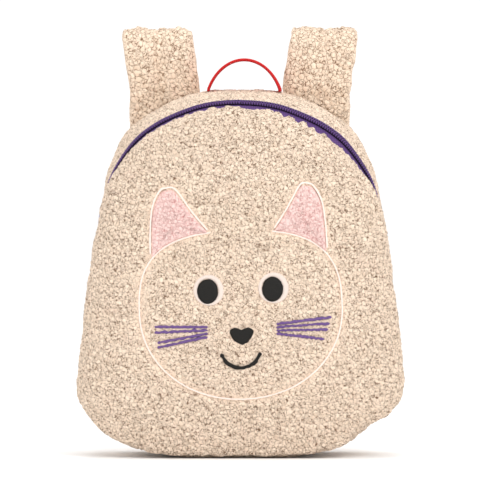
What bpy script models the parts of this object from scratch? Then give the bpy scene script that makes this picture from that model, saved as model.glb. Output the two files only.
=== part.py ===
"""Kids backpack in curly fleece: a small arched bag with a zip over its top, padded straps that
fold over behind it, a webbing carry loop and a cat face on the front.

Metres, +Z up, the front of the bag faces -Y. The origin is the middle of the flat base.
"""

import math

import bmesh
import bpy
import numpy as np
from mathutils import Matrix, Vector
from mathutils.bvhtree import BVHTree

# Body
body_height = 0.2406
body_width = 0.2144
front_reach = 0.048
back_reach = 0.046
hub_height = 0.118
base_flat = 0.0
sag = 0.004
sag_height = 0.080
sag_spread = 0.055
back_hollow = 0.003

# Cloth
fleece_wall = 0.004
tape_wall = 0.0012
seam_gap = 0.0003
gusset_puff = 0.0025

# Zip
coil_width = 0.0058
coil_height = 0.0017
coil_gap = 0.0005
tape_recess = 0.0008
zip_end_turn = 106.0
slider_length = 0.011
slider_width = 0.0085
slider_height = 0.0028
slider_seat = 0.0007
pull_length = 0.017
pull_width = 0.0065
pull_thickness = 0.0012

# Straps
strap_width = 0.0465
strap_thickness = 0.010
strap_top = 0.2830
strap_foot = 0.206
strap_end = 0.106
strap_reach = 0.0285
strap_place = 0.4757
strap_fullness_left = 1.05
strap_spread = 0.0050

# Webbing, adjusters and carry loop
webbing_width = 0.018
webbing_thickness = 0.0015
adjuster_width = 0.027
adjuster_bar = 0.0040
adjuster_slot = 0.0085
adjuster_depth = 0.0030
adjuster_side = 0.0038
adjuster_drop = 0.024
webbing_foot_height = 0.038
webbing_foot_length = 0.016
webbing_foot_place = 0.672
loop_width = 0.015
loop_thickness = 0.0020
loop_span = 0.0476
loop_rise = 0.0198
loop_shift = 0.0023
loop_start = 25.0
loop_twist = 0.25

# Cat face
face_height = 0.097
face_width = 0.1315
face_top = 0.0510
face_bottom = 0.0580
face_crown = 2.8
face_chin = 2.06
face_tilt = 2.0
ear_top = 0.0807
ear_foot_left = 0.268
ear_foot_right = 0.329
line_width = 0.0014
line_height = 0.0013
ear_pile = 0.0024
eye_width = 0.0140
eye_height = 0.0166
eye_apart = 0.0420
eye_up = 0.0127
ring_reach = 0.0100
ring_across = 0.0007
ring_up = 0.0009
ring_height = 0.0011
stitch_height = 0.0014
nose_width = 0.0165
nose_height = 0.0116
nose_drop = 0.0170
mouth_width = 0.0252
mouth_depth = 0.0098
mouth_line = 0.0024
mouth_drop = 0.0278
mouth_shift = -0.0010
mouth_turn = 76.0
whisker_line = 0.0016
applique_gap = 0.0004

columns_round = 60

# The bag's sections, from the middle of the base round one side to the middle of the top.
# across: share of half the body width. up: share of the body height.
# *_in: how far inside the outline, as a share of half the body width.
# *_y: place from front to back, a share of the front reach (before) or back reach (behind).
# wide is the fullest line of the front, seam its edge, band the far edge of the zip, back the rear seam.
SECTION_COLUMNS = (
    "across", "up", "wide_in", "wide_y", "seam_in", "seam_y", "band_in", "band_y", "back_in", "back_y"
)
SECTIONS = (
    (0.000, 0.0000, 0.020, -0.80, 0.000, -0.62, 0.000, -0.40, 0.000, 0.74),
    (0.300, 0.0010, 0.020, -0.80, 0.000, -0.62, 0.000, -0.40, 0.000, 0.74),
    (0.520, 0.0125, 0.008, -0.76, 0.004, -0.58, 0.004, -0.36, 0.010, 0.76),
    (0.700, 0.0350, 0.002, -0.68, 0.008, -0.50, 0.008, -0.28, 0.022, 0.78),
    (0.849, 0.0750, 0.000, -0.58, 0.012, -0.38, 0.012, -0.14, 0.034, 0.80),
    (0.969, 0.1390, 0.000, -0.48, 0.016, -0.24, 0.016, 0.02, 0.040, 0.84),
    (1.000, 0.2000, 0.000, -0.42, 0.018, -0.14, 0.018, 0.12, 0.040, 0.87),
    (0.981, 0.2950, 0.000, -0.38, 0.020, -0.06, 0.020, 0.20, 0.040, 0.88),
    (0.951, 0.4250, 0.000, -0.36, 0.024, -0.02, 0.024, 0.24, 0.040, 0.88),
    (0.908, 0.5790, 0.000, -0.36, 0.034, -0.02, 0.034, 0.24, 0.038, 0.88),
    (0.852, 0.7170, 0.026, -0.40, 0.042, -0.10, 0.038, 0.17, 0.024, 0.89),
    (0.802, 0.7960, 0.074, -0.45, 0.077, -0.20, 0.056, 0.08, 0.010, 0.90),
    (0.704, 0.8850, 0.126, -0.52, 0.130, -0.30, 0.081, -0.05, 0.000, 0.90),
    (0.560, 0.9350, 0.130, -0.57, 0.132, -0.36, 0.078, -0.14, 0.000, 0.90),
    (0.392, 0.9760, 0.144, -0.60, 0.144, -0.40, 0.088, -0.19, 0.000, 0.90),
    (0.215, 0.9965, 0.137, -0.61, 0.137, -0.42, 0.080, -0.21, 0.000, 0.90),
    (0.000, 1.0000, 0.125, -0.61, 0.125, -0.42, 0.069, -0.21, 0.000, 0.90),
)

# Where the outline and the front's seam aren't the same on both sides. turn and reach: degrees round
# the bag from straight down, more than 0 on the right. inward: share of the body width.
TUCK_COLUMNS = ("turn", "reach", "inward")
OUTLINE_TUCKS = (
    (40.0, 15.0, 0.015),
    (88.0, 10.0, 0.005),
    (115.0, 16.0, -0.005),
    (130.0, 9.0, -0.003),
    (-38.0, 12.0, -0.003),
    (-68.0, 14.0, 0.004),
    (-110.0, 12.0, 0.006),
    (-129.0, 11.0, -0.005),
)
SEAM_TUCKS = (
    (145.0, 24.0, 0.0125),
    (-152.0, 22.0, -0.009),
)

# Dents and creases, each along a line from a first to a last point.
# x: share of half the body width. y: share of the front reach. z: share of the body height.
# depth and spread: shares of the body width.
DENT_COLUMNS = ("x0", "y0", "z0", "x1", "y1", "z1", "depth", "spread")
DENTS = (
    (-0.80, -0.60, 0.110, -0.66, -0.78, 0.050, 0.012, 0.040),
    (0.80, -0.50, 0.085, 0.72, -0.70, 0.065, 0.014, 0.036),
    (0.90, 0.10, 0.105, 0.80, -0.50, 0.085, 0.016, 0.040),
    (-0.96, -0.10, 0.560, -0.84, -0.62, 0.470, 0.006, 0.050),
    (0.94, -0.10, 0.640, 0.86, -0.60, 0.520, 0.006, 0.050),
)

# The padded strap from its foot up over the fold and down behind.
# climb: where it is in height, 0 at the foot, 1 at the top of the fold (rows before the fold)
# or 0 at the lower end (rows after it). back: share of the strap reach. spread: share of the
# strap spread. width: share of the strap width. thick: share of its thickness.
STRAP_COLUMNS = ("falls", "climb", "back", "spread", "width", "thick")
STRAP_ROWS = (
    (0, 0.00, -0.116, -0.12, 0.97, 0.34),
    (0, 0.22, -0.020, -0.12, 1.00, 0.88),
    (0, 0.46, -0.020, -0.08, 1.00, 1.00),
    (0, 0.66, 0.000, 0.25, 1.00, 1.00),
    (0, 0.83, 0.090, 0.68, 1.00, 1.00),
    (0, 0.95, 0.260, 0.92, 0.99, 1.00),
    (0, 1.00, 0.480, 1.00, 0.98, 1.00),
    (1, 0.965, 0.740, 0.90, 0.98, 1.00),
    (1, 0.89, 0.900, 0.48, 0.98, 1.00),
    (1, 0.73, 0.970, -0.15, 0.97, 1.00),
    (1, 0.52, 1.000, 0.10, 0.98, 1.00),
    (1, 0.30, 0.970, 0.85, 0.99, 1.00),
    (1, 0.10, 0.920, 1.45, 0.94, 0.96),
    (1, 0.02, 0.900, 1.60, 0.82, 0.80),
    (1, 0.00, 0.900, 1.60, 0.66, 0.56),
)

# Half of the strap's cross-section. across: share of half its width. deep: share of half its thickness.
STRAP_SECTION = (
    (-1.00, 0.00),
    (-0.94, 0.72),
    (-0.60, 1.00),
    (-0.16, 0.90),
    (0.00, 0.66),
    (0.16, 0.90),
    (0.60, 1.00),
    (0.94, 0.72),
)

# One ear of the cat, from its outer foot over the tip to its inner foot.
# across: share of half the face width. up: share of the ear top.
EAR_ROWS = (
    (0.874, 0.429),
    (0.865, 0.665),
    (0.835, 0.852),
    (0.762, 0.972),
    (0.686, 0.999),
    (0.618, 0.978),
    (0.482, 0.793),
    (0.329, 0.612),
)

# Heart-shaped nose. across: share of half its width. up: share of half its height.
NOSE_ROWS = (
    (0.00, -1.00),
    (0.36, -0.80),
    (0.72, -0.30),
    (0.98, 0.30),
    (0.94, 0.74),
    (0.62, 1.00),
    (0.28, 0.90),
    (0.00, 0.70),
)

# Whiskers. name, inner x, inner z, outer x, outer z: shares of half the face width, z from the face middle.
WHISKERS = (
    ("whisker_left_1", -0.324, -0.169, -0.851, -0.168),
    ("whisker_left_2", -0.324, -0.200, -0.851, -0.225),
    ("whisker_left_3", -0.324, -0.232, -0.822, -0.327),
    ("whisker_left_4", -0.324, -0.265, -0.822, -0.373),
    ("whisker_right_1", 0.350, -0.138, 0.897, -0.074),
    ("whisker_right_2", 0.350, -0.170, 0.878, -0.134),
    ("whisker_right_3", 0.350, -0.201, 0.863, -0.197),
    ("whisker_right_4", 0.350, -0.232, 0.825, -0.288),
)

FLEECE_COLOUR = (0.745, 0.591, 0.468, 1.0)
PINK_COLOUR = (0.904, 0.651, 0.597, 1.0)
ZIP_COLOUR = (0.067, 0.038, 0.178, 1.0)
TAPE_COLOUR = (0.156, 0.090, 0.301, 1.0)
RED_COLOUR = (0.708, 0.042, 0.041, 1.0)
BLACK_COLOUR = (0.026, 0.024, 0.020, 1.0)
CREAM_COLOUR = (0.955, 0.830, 0.752, 1.0)
WHISKER_COLOUR = (0.150, 0.080, 0.305, 1.0)
PLASTIC_COLOUR = (0.560, 0.470, 0.400, 1.0)
METAL_COLOUR = (0.300, 0.260, 0.330, 1.0)


def clear_scene():
    for item in list(bpy.data.objects):
        bpy.data.objects.remove(item, do_unlink=True)


def collection(name):
    group = bpy.data.collections.new(name)
    bpy.context.scene.collection.children.link(group)
    return group


clear_scene()
bag = collection("kids_backpack")
cutters = collection("cutters")


def material(name, colour, roughness=0.9):
    finish = bpy.data.materials.new(name)
    finish.use_nodes = True
    shader = finish.node_tree.nodes["Principled BSDF"]
    shader.inputs["Base Color"].default_value = colour
    shader.inputs["Roughness"].default_value = roughness
    return finish


def add_mesh(name, points, faces, colour, roughness=0.9, smooth=True, group=None):
    mesh = bpy.data.meshes.new(name)
    mesh.from_pydata([tuple(point) for point in points], [], faces)
    work = bmesh.new()
    work.from_mesh(mesh)
    bmesh.ops.recalc_face_normals(work, faces=work.faces)
    for face in work.faces:
        face.smooth = smooth
    work.to_mesh(mesh)
    work.free()
    item = bpy.data.objects.new(name, mesh)
    item.data.materials.append(material(name, colour, roughness))
    (group or bag).objects.link(item)
    return item


def through(rows, steps, mirrored=False):
    """Points on a smooth curve through the rows. mirrored: the first column changes sign past both ends."""
    rows = np.asarray(rows, float)
    before = 2 * rows[0] - rows[1]
    after = 2 * rows[-1] - rows[-2]
    if mirrored:
        flip = np.ones(rows.shape[1])
        flip[0] = -1
        before = rows[1] * flip
        after = rows[-2] * flip
    held = np.vstack([before, rows, after])
    made = []
    for k in range(1, len(held) - 2):
        a, b, c, d = held[k - 1], held[k], held[k + 1], held[k + 2]
        for step in range(steps):
            t = step / steps
            bend = (2 * a - 5 * b + 4 * c - d) * t**2 + (3 * b - a - 3 * c + d) * t**3
            made.append(0.5 * (2 * b + (c - a) * t + bend))
    made.append(rows[-1])
    return np.array(made)


def evenly(points, count):
    """The same line with its points at even distances."""
    points = np.asarray(points, float)
    lengths = np.linalg.norm(np.diff(points, axis=0), axis=1)
    along = np.concatenate([[0], np.cumsum(lengths)])
    wanted = np.linspace(0, along[-1], count)
    return np.column_stack([np.interp(wanted, along, points[:, k]) for k in range(points.shape[1])])


# The body's surface

half_width = body_width / 2
fine_rows = through(SECTIONS, 12, mirrored=True)
outline_x = fine_rows[:, 0] * half_width
outline_z = np.maximum(fine_rows[:, 1] * body_height, 0)
outline_turn = np.degrees(np.arctan2(outline_x, hub_height - outline_z))
outline_radius = np.hypot(outline_x, outline_z - hub_height)


def section_value(column, turn):
    """A column of the section table at a turn from straight down, in degrees."""
    place = SECTION_COLUMNS.index(column)
    value = np.interp(np.abs(turn), outline_turn, fine_rows[:, place])
    if column.endswith("_y"):
        return np.where(value < 0, value * front_reach, value * back_reach)
    return value * half_width


def rim(name, turn):
    """Radius from the hub and place in depth of one of the named lines round the bag."""
    radius = np.interp(np.abs(turn), outline_turn, outline_radius)
    tucks = OUTLINE_TUCKS + (SEAM_TUCKS if name in ("wide", "seam") else ())
    for middle, reach, inward in tucks:
        radius = radius - inward * body_width * np.exp(-(((turn - middle) / reach) ** 2))
    return radius - section_value(name + "_in", turn), section_value(name + "_y", turn)


def body_points(zone, share, turn):
    """Points on the bag's outside: zone and share say where from front to back, turn where round it."""
    wide_r, wide_y = rim("wide", turn)
    seam_r, seam_y = rim("seam", turn)
    band_r, band_y = rim("band", turn)
    back_r, back_y = rim("back", turn)
    quarter = math.radians(90 * share)
    if zone == "front":
        radius = wide_r * math.sin(quarter) ** 0.85
        rise = math.cos(quarter) ** 0.80 if share < 1 else 0.0
        depth = wide_y - (wide_y + front_reach) * rise
        height = hub_height - radius * np.cos(np.radians(turn))
        fall = np.exp(-(((height - sag_height) / sag_spread) ** 2))
        depth = depth - sag * fall * (1 - math.sin(quarter) ** 3)
    elif zone == "lip":
        radius = wide_r + (seam_r - wide_r) * (1 - math.cos(quarter))
        depth = wide_y + (seam_y - wide_y) * math.sin(quarter)
    elif zone == "band":
        radius = seam_r + (band_r - seam_r) * share - tape_recess * math.sin(math.pi * share)
        depth = seam_y + (band_y - seam_y) * share
    elif zone == "gusset":
        puff = gusset_puff * math.sin(math.pi * share) * np.clip(np.abs(turn) / 45 - 0.6, 0, 1)
        radius = band_r + (back_r - band_r) * share + puff
        depth = band_y + (back_y - band_y) * share
    else:
        radius = back_r * math.cos(quarter) ** 0.9 if share < 1 else back_r * 0
        bulge = math.sin(quarter) ** 0.75 if share else 0.0
        depth = back_y + (back_reach - back_y) * bulge
        depth = depth - back_hollow * share**4
    angle = np.radians(turn)
    height = hub_height - radius * np.cos(angle)
    points = np.stack([radius * np.sin(angle), depth + 0 * radius, height], axis=-1)
    for x0, y0, z0, x1, y1, z1, deep, spread in DENTS:
        first = np.array([x0 * half_width, y0 * front_reach, z0 * body_height])
        last = np.array([x1 * half_width, y1 * front_reach, z1 * body_height])
        line = last - first
        along = np.clip(((points - first) @ line) / (line @ line), 0, 1)
        away = np.linalg.norm(points - first - along[..., None] * line, axis=-1)
        press = deep * body_width * np.exp(-((away / (spread * body_width)) ** 2))
        inward = np.array([0.0, 0.0, hub_height]) - points
        inward = inward / np.linalg.norm(inward, axis=-1)[..., None]
        points = points + inward * press[..., None]
    points[..., 2] = np.maximum(points[..., 2], base_flat)
    return points


def round_turns():
    """The turns of the columns round the bag, at even distances, with one at each end of the zip."""
    x = np.concatenate([outline_x, -outline_x[-2:0:-1]])
    z = np.concatenate([outline_z, outline_z[-2:0:-1]])
    closed = np.column_stack([np.append(x, x[0]), np.append(z, z[0])])
    even = evenly(closed, columns_round + 1)[:-1]
    turns = np.degrees(np.arctan2(even[:, 0], hub_height - even[:, 1])) % 360
    turns[0] = 0.0
    for end in (zip_end_turn, 360 - zip_end_turn):
        turns[int(np.argmin(np.abs(turns - end)))] = end
    return turns


turns = round_turns()
signed = np.where(turns > 180, turns - 360, turns)
RINGS = (
    [("front", share) for share in (0.14, 0.31, 0.47, 0.62, 0.76, 0.89, 1.0)]
    + [("lip", 0.55), ("lip", 1.0)]
    + [("band", share) for share in (0.42, 0.92, 1.0)]
    + [("gusset", share) for share in (0.16, 0.38, 0.62, 0.84, 1.0)]
    + [("back", share) for share in (0.14, 0.34, 0.58, 0.82)]
)
front_seam = RINGS.index(("lip", 1.0))
band_edge = RINGS.index(("band", 1.0))
rear_seam = RINGS.index(("gusset", 1.0))
skin = np.array([body_points(zone, share, signed) for zone, share in RINGS])
front_pole = body_points("front", 0.0, np.array([180.0]))[0]
back_pole = body_points("back", 1.0, np.array([180.0]))[0]


def unit(vectors):
    return vectors / np.maximum(np.linalg.norm(vectors, axis=-1, keepdims=True), 1e-12)


def surface_frames():
    """Directions from ring to ring and from column to column, and the outward direction."""
    before = np.concatenate([front_pole + 0 * skin[:1], skin[:-1]])
    after = np.concatenate([skin[1:], back_pole + 0 * skin[-1:]])
    back_way = unit(unit(after - skin) + unit(skin - before))
    round_way = unit(np.roll(skin, -1, axis=1) - np.roll(skin, 1, axis=1))
    outward = unit(np.cross(back_way, round_way))
    middle = np.array([0.0, 0.0, hub_height])
    facing = np.sign(np.sum(outward * (skin - middle), axis=-1, keepdims=True))
    outward = outward * facing
    return back_way, round_way, outward


back_way, round_way, outward = surface_frames()


def shell(name, first, last, start, end, wall, colour, pole=None, lift=0.0):
    """A cloth piece: the skin between two rings and two columns, with its thickness inwards."""
    whole = start is None
    places = range(columns_round) if whole else range(start, end + 1)
    places = [place % columns_round for place in places]
    outer = skin[first : last + 1, places].copy()
    normal = outward[first : last + 1, places]
    if first > 0:
        outer[0] += back_way[first, places] * seam_gap / 2
    if last < len(RINGS) - 1:
        outer[-1] -= back_way[last, places] * seam_gap / 2
    if not whole:
        outer[:, 0] += round_way[first : last + 1, places[0]][:, :] * seam_gap / 2
        outer[:, -1] -= round_way[first : last + 1, places[-1]][:, :] * seam_gap / 2
    outer = outer + normal * lift
    inner = outer - normal * wall
    rows, across = outer.shape[:2]
    points = [*outer.reshape(-1, 3), *inner.reshape(-1, 3)]
    under = rows * across

    def at(row, column):
        return row * across + column % across

    faces = []
    for row in range(rows - 1):
        for column in range(across if whole else across - 1):
            quad = (at(row, column), at(row, column + 1), at(row + 1, column + 1), at(row + 1, column))
            faces.append(quad)
            faces.append(tuple(under + corner for corner in reversed(quad)))
    edges = []
    for row in (0, rows - 1):
        if pole is not None and row == (0 if pole == "front" else rows - 1):
            continue
        edges += [(at(row, column), at(row, column + 1)) for column in range(across if whole else across - 1)]
    if not whole:
        edges += [(row * across, (row + 1) * across) for row in range(rows - 1)]
        edges += [(row * across + across - 1, (row + 1) * across + across - 1) for row in range(rows - 1)]
    for a, b in edges:
        faces.append((a, b, under + b, under + a))
    if pole is not None:
        tip = front_pole if pole == "front" else back_pole
        inside = tip + np.array([0.0, wall if pole == "front" else -wall, 0.0])
        row = 0 if pole == "front" else rows - 1
        points += [tip, inside]
        for column in range(across):
            faces.append((len(points) - 2, at(row, column), at(row, column + 1)))
            faces.append((len(points) - 1, under + at(row, column + 1), under + at(row, column)))
    return add_mesh(name, points, faces, colour)


zip_first = int(np.argmin(np.abs(turns - zip_end_turn)))
zip_last = int(np.argmin(np.abs(turns - (360 - zip_end_turn))))

front_panel = shell(
    "front_panel", 0, front_seam, None, None, fleece_wall, FLEECE_COLOUR, pole="front"
)
base_gusset = shell(
    "base_gusset", front_seam, rear_seam, zip_last, zip_first + columns_round, fleece_wall, FLEECE_COLOUR
)
zip_tape = shell("zip_tape", front_seam, band_edge, zip_first, zip_last, tape_wall, TAPE_COLOUR)
top_gusset = shell("top_gusset", band_edge, rear_seam, zip_first, zip_last, fleece_wall, FLEECE_COLOUR)
back_panel = shell(
    "back_panel", rear_seam, len(RINGS) - 1, None, None, fleece_wall, FLEECE_COLOUR, pole="back"
)


def tree_of(item):
    return BVHTree.FromPolygons(
        [vertex.co for vertex in item.data.vertices], [list(face.vertices) for face in item.data.polygons]
    )


front_tree = tree_of(front_panel)
back_tree = tree_of(back_panel)
top_tree = tree_of(top_gusset)


def front_depth(x, z):
    """Where the front of the bag is in depth at a place on the face."""
    found = front_tree.ray_cast(Vector((x, -1.0, z)), Vector((0, 1, 0)))
    return found[0].y


def back_depth(x, z):
    """Where the back of the bag is in depth, or nothing above its rear seam."""
    found = back_tree.ray_cast(Vector((x, 1.0, z)), Vector((0, -1, 0)))
    return found[0].y if found[0] else -back_reach


def top_level(x, y):
    found = top_tree.ray_cast(Vector((x, y, 1.0)), Vector((0, 0, -1)))
    return found[0].z if found[0] else base_flat


def loft(name, sections, colour, roughness=0.9, closed=False, smooth=True):
    """A solid through closed loops of points. closed: the last loop joins the first."""
    sections = np.asarray(sections, float)
    rows, across = sections.shape[:2]
    points = list(sections.reshape(-1, 3))
    faces = []
    for row in range(rows if closed else rows - 1):
        after = (row + 1) % rows
        for column in range(across):
            beside = (column + 1) % across
            here = row * across
            there = after * across
            faces.append((here + column, here + beside, there + beside, there + column))
    if not closed:
        for row in (0, rows - 1):
            points.append(sections[row].mean(axis=0))
            for column in range(across):
                faces.append((len(points) - 1, row * across + column, row * across + (column + 1) % across))
    return add_mesh(name, points, faces, colour, roughness, smooth)


# Zip


def zip_coil():
    places = list(range(zip_first, zip_last + 1))
    low = skin[front_seam + 1, places]
    high = skin[front_seam + 2, places]
    way = unit(high - low)
    flat = unit(np.cross(way, round_way[front_seam + 1, places]))
    facing = np.sum(flat * outward[front_seam + 1, places], axis=-1, keepdims=True)
    flat = flat * np.sign(facing)
    middle = (low + high) / 2 + flat * coil_gap
    half = coil_width / 2
    shape = ((-1.0, 0.0), (-0.8, 0.8), (-0.3, 1.0), (0.3, 1.0), (0.8, 0.8), (1.0, 0.0))
    sections = [
        [middle[k] + way[k] * half * across + flat[k] * coil_height * up for across, up in shape]
        for k in range(1, len(places) - 2)
    ]
    frame = (middle[-2], way[-2], flat[-2], unit(middle[-1] - middle[-3]))
    return loft("zip_coil", sections, ZIP_COLOUR, 0.5), frame


coil, (slider_at, slider_across, slider_out, slider_down) = zip_coil()


def add_slab(name, centre, sides, directions, colour, roughness=0.4, group=None):
    """A slab placed by its middle: sides and directions are its length, width and height."""
    mesh = bpy.data.meshes.new(name)
    work = bmesh.new()
    bmesh.ops.create_cube(work, size=1.0)
    bmesh.ops.scale(work, vec=Vector(sides), verts=work.verts)
    work.to_mesh(mesh)
    work.free()
    item = bpy.data.objects.new(name, mesh)
    first = Vector(directions[0])
    second = (Vector(directions[1]) - first * first.dot(Vector(directions[1]))).normalized()
    turn = Matrix((first, second, first.cross(second))).transposed()
    item.location = Vector(centre)
    item.rotation_euler = turn.to_euler()
    item.data.materials.append(material(name, colour, roughness))
    (group or bag).objects.link(item)
    return item


def boolean(item, other, operation):
    change = item.modifiers.new(other.name, "BOOLEAN")
    change.operation = operation
    change.solver = "EXACT"
    change.object = other
    other.hide_render = True
    other.display_type = "WIRE"


def soften(item, width):
    """Rounds the edges of a slab once it is cut."""
    change = item.modifiers.new("soften", "BEVEL")
    change.width = width
    change.segments = 1
    change.limit_method = "ANGLE"


slider_lift = slider_seat + slider_height / 2
slider = add_slab(
    "zip_slider",
    slider_at + slider_out * slider_lift,
    (slider_length, slider_width, slider_height),
    (slider_down, slider_across, slider_out),
    METAL_COLOUR,
)
pull = add_slab(
    "pull_tab",
    slider_at + slider_out * (slider_lift + slider_height / 4) + slider_down * pull_length / 2,
    (pull_length, pull_width, pull_thickness),
    (slider_down, slider_across, slider_out),
    METAL_COLOUR,
    group=cutters,
)
boolean(slider, pull, "UNION")
soften(slider, pull_thickness / 4)

# Straps


def strap_line(side):
    """Middle line and width of a strap from its foot to its lower end."""
    rows = []
    top = strap_top - strap_thickness / 2
    strap_centre = half_width * strap_place
    fullness = strap_fullness_left if side < 0 else 1.0
    above_foot = body_height - strap_foot
    seat = max(
        back_depth(side * (strap_centre + part * strap_width / 2), strap_foot + rise * above_foot)
        for part in (-0.9, -0.5, 0.0, 0.5, 0.9)
        for rise in (0.05, 0.3, 0.6)
    )
    seat = seat + seam_gap + strap_thickness / 2
    for falls, climb, back, spread, width, thick in STRAP_ROWS:
        low = strap_end if falls else strap_foot
        rows.append(
            (
                side * (strap_centre + spread * strap_spread),
                seat + back * strap_reach,
                low + climb * (top - low),
                width * strap_width * fullness,
                thick * strap_thickness,
            )
        )
    return through(rows, 2)


def across_line(line, k, aside=(1.0, 0.0, 0.0)):
    """The two directions across a line at a point: one nearest to aside, and one square to it."""
    way = line[min(k + 1, len(line) - 1)][:3] - line[max(k - 1, 0)][:3]
    way = way / np.linalg.norm(way)
    side = np.array(aside) - way * (np.array(aside) @ way)
    side = side / np.linalg.norm(side)
    return side, np.cross(side, way)


def strap(name, side):
    line = strap_line(side)
    loop = [*STRAP_SECTION, (1.0, 0.0), *[(across, -deep) for across, deep in reversed(STRAP_SECTION[1:])]]
    sections = []
    for k in range(len(line)):
        sideways, out = across_line(line, k)
        half = line[k][3] / 2
        thick = line[k][4] / 2
        middle = line[k][:3]
        sections.append([middle + sideways * half * across + out * thick * deep for across, deep in loop])
    return loft(name, sections, FLEECE_COLOUR), line


strap_left, line_left = strap("strap_left", -1)
strap_right, line_right = strap("strap_right", 1)


def ribbon(name, line, width, thickness, colour, roughness=0.6, twist=None):
    """A flat band along a line of points, its width along x unless twist gives its directions."""
    sections = []
    for k in range(len(line)):
        sideways, out = across_line(line, k, twist[k]) if twist else across_line(line, k)
        a = sideways * width / 2
        b = out * thickness / 2
        sections.append([line[k][:3] - a - b, line[k][:3] + a - b, line[k][:3] + a + b, line[k][:3] - a + b])
    return loft(name, sections, colour, roughness, smooth=False)


# Adjusters and the webbing that weaves through them

adjuster_height = 3 * adjuster_bar + 2 * adjuster_slot
weave = adjuster_depth / 2 + webbing_thickness / 2 + seam_gap + 0.0003


def seat_on_back(x, z):
    """The middle of the webbing where it lies flat on the back at a place."""
    half = webbing_width / 2
    spots = [(across * half, up * half / 2) for across in (-1, 0, 1) for up in (-1, 0, 1)]
    reach = [back_depth(x + across, z + up) for across, up in spots]
    return np.array([x, max(reach) + webbing_thickness / 2 + seam_gap + 0.0002, z])


def lower_strap(word, side, line):
    end = line[-1][:3]
    foot = seat_on_back(side * half_width * webbing_foot_place, webbing_foot_height)
    way = unit(foot - end)
    centre = end + way * (adjuster_drop + adjuster_height / 2)
    sideways = unit(np.array([1.0, 0.0, 0.0]) - way * way[0])
    out = np.cross(sideways, way)
    out = out * np.sign(out[1])
    frame = add_slab(
        f"adjuster_{word}",
        centre,
        (adjuster_height, adjuster_width, adjuster_depth),
        (way, sideways),
        PLASTIC_COLOUR,
    )
    for part in (-1, 1):
        slot = add_slab(
            f"slot_{word}_{part}",
            centre + way * part * (adjuster_bar + adjuster_slot) / 2,
            (adjuster_slot, adjuster_width - 2 * adjuster_side, adjuster_depth * 2),
            (way, sideways),
            PLASTIC_COLOUR,
            group=cutters,
        )
        boolean(frame, slot, "DIFFERENCE")
    soften(frame, adjuster_depth / 5)
    pitch = adjuster_bar + adjuster_slot
    hold = adjuster_bar / 2 + 0.0003
    lean = abs(way[0]) * webbing_width / 2 + abs(way[1]) * webbing_thickness / 2
    start = end + way * (2 * seam_gap + lean)
    stops = [start, end + way * adjuster_drop * 0.6]
    for bar, over in ((-1, 1), (0, -1), (1, 1)):
        for edge in (-1, 1):
            stops.append(centre + way * (bar * pitch + edge * hold) + out * weave * over)
    level = [seat_on_back(foot[0], foot[2] - webbing_foot_length * share) for share in (0.15, 0.6, 1.0)]
    stops += [foot - way * webbing_foot_length + out * webbing_thickness, *level]
    return ribbon(f"webbing_{word}", np.array(stops), webbing_width, webbing_thickness, FLEECE_COLOUR)


lower_strap("left", -1, line_left)
lower_strap("right", 1, line_right)


# Carry loop, seen on edge from the front


def carry_loop():
    rear = skin[rear_seam, columns_round // 2][1]
    middle_y = rear - loop_width / 2 - 0.002
    line = []
    count = 22
    start = math.radians(loop_start)
    for k in range(count + 1):
        angle = start + (math.pi - 2 * start) * k / count
        x = loop_shift - loop_span / 2 * math.cos(angle) / math.cos(start)
        rise = (math.sin(angle) - math.sin(start)) / (1 - math.sin(start))
        line.append((x, middle_y, body_height + loop_rise * rise))
    line = np.array(line)
    for k in (0, -1):
        reach = [top_level(line[k][0] + part * loop_thickness, middle_y + edge * loop_width / 2)
                 for edge in (-1, 0, 1) for part in (-1, 0, 1)]
        line[k][2] = max(reach) + seam_gap + 0.0001
    twist = [(loop_twist * max(0.0, k / count - 0.6), 1.0, 0.0) for k in range(count + 1)]
    return ribbon("carry_handle", line, loop_width, loop_thickness, RED_COLOUR, twist=twist)


carry_loop()

# Cat face

tilt = math.radians(face_tilt)
half_face = face_width / 2


def on_face(x, z):
    """A place given from the middle of the face, turned with it."""
    return (
        x * math.cos(tilt) - z * math.sin(tilt),
        face_height + x * math.sin(tilt) + z * math.cos(tilt),
    )


def stroke(name, path, width, height, colour, closed=False, roughness=0.6):
    """A raised line of stitches along a path of x and z on the front, of one width or one for each place."""
    path = np.asarray(path, float)
    widths = np.broadcast_to(width, len(path))
    sections = []
    for k in range(len(path)):
        if closed:
            way = path[(k + 1) % len(path)] - path[k - 1]
        else:
            way = path[min(k + 1, len(path) - 1)] - path[max(k - 1, 0)]
        way = way / np.linalg.norm(way)
        aside = np.array([way[1], -way[0]]) * widths[k] / 2
        left = path[k] - aside
        right = path[k] + aside
        depths = [front_depth(*place) - applique_gap for place in (left, path[k], right)]
        top = min(depths) - height
        shoulder = top + height * 0.35
        near_left = left * 0.85 + path[k] * 0.15
        near_right = right * 0.85 + path[k] * 0.15
        sections.append(
            [
                (left[0], depths[0], left[1]),
                (right[0], depths[2], right[1]),
                (near_right[0], shoulder, near_right[1]),
                (path[k][0], top, path[k][1]),
                (near_left[0], shoulder, near_left[1]),
            ]
        )
    return loft(name, sections, colour, roughness, closed=closed)


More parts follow.
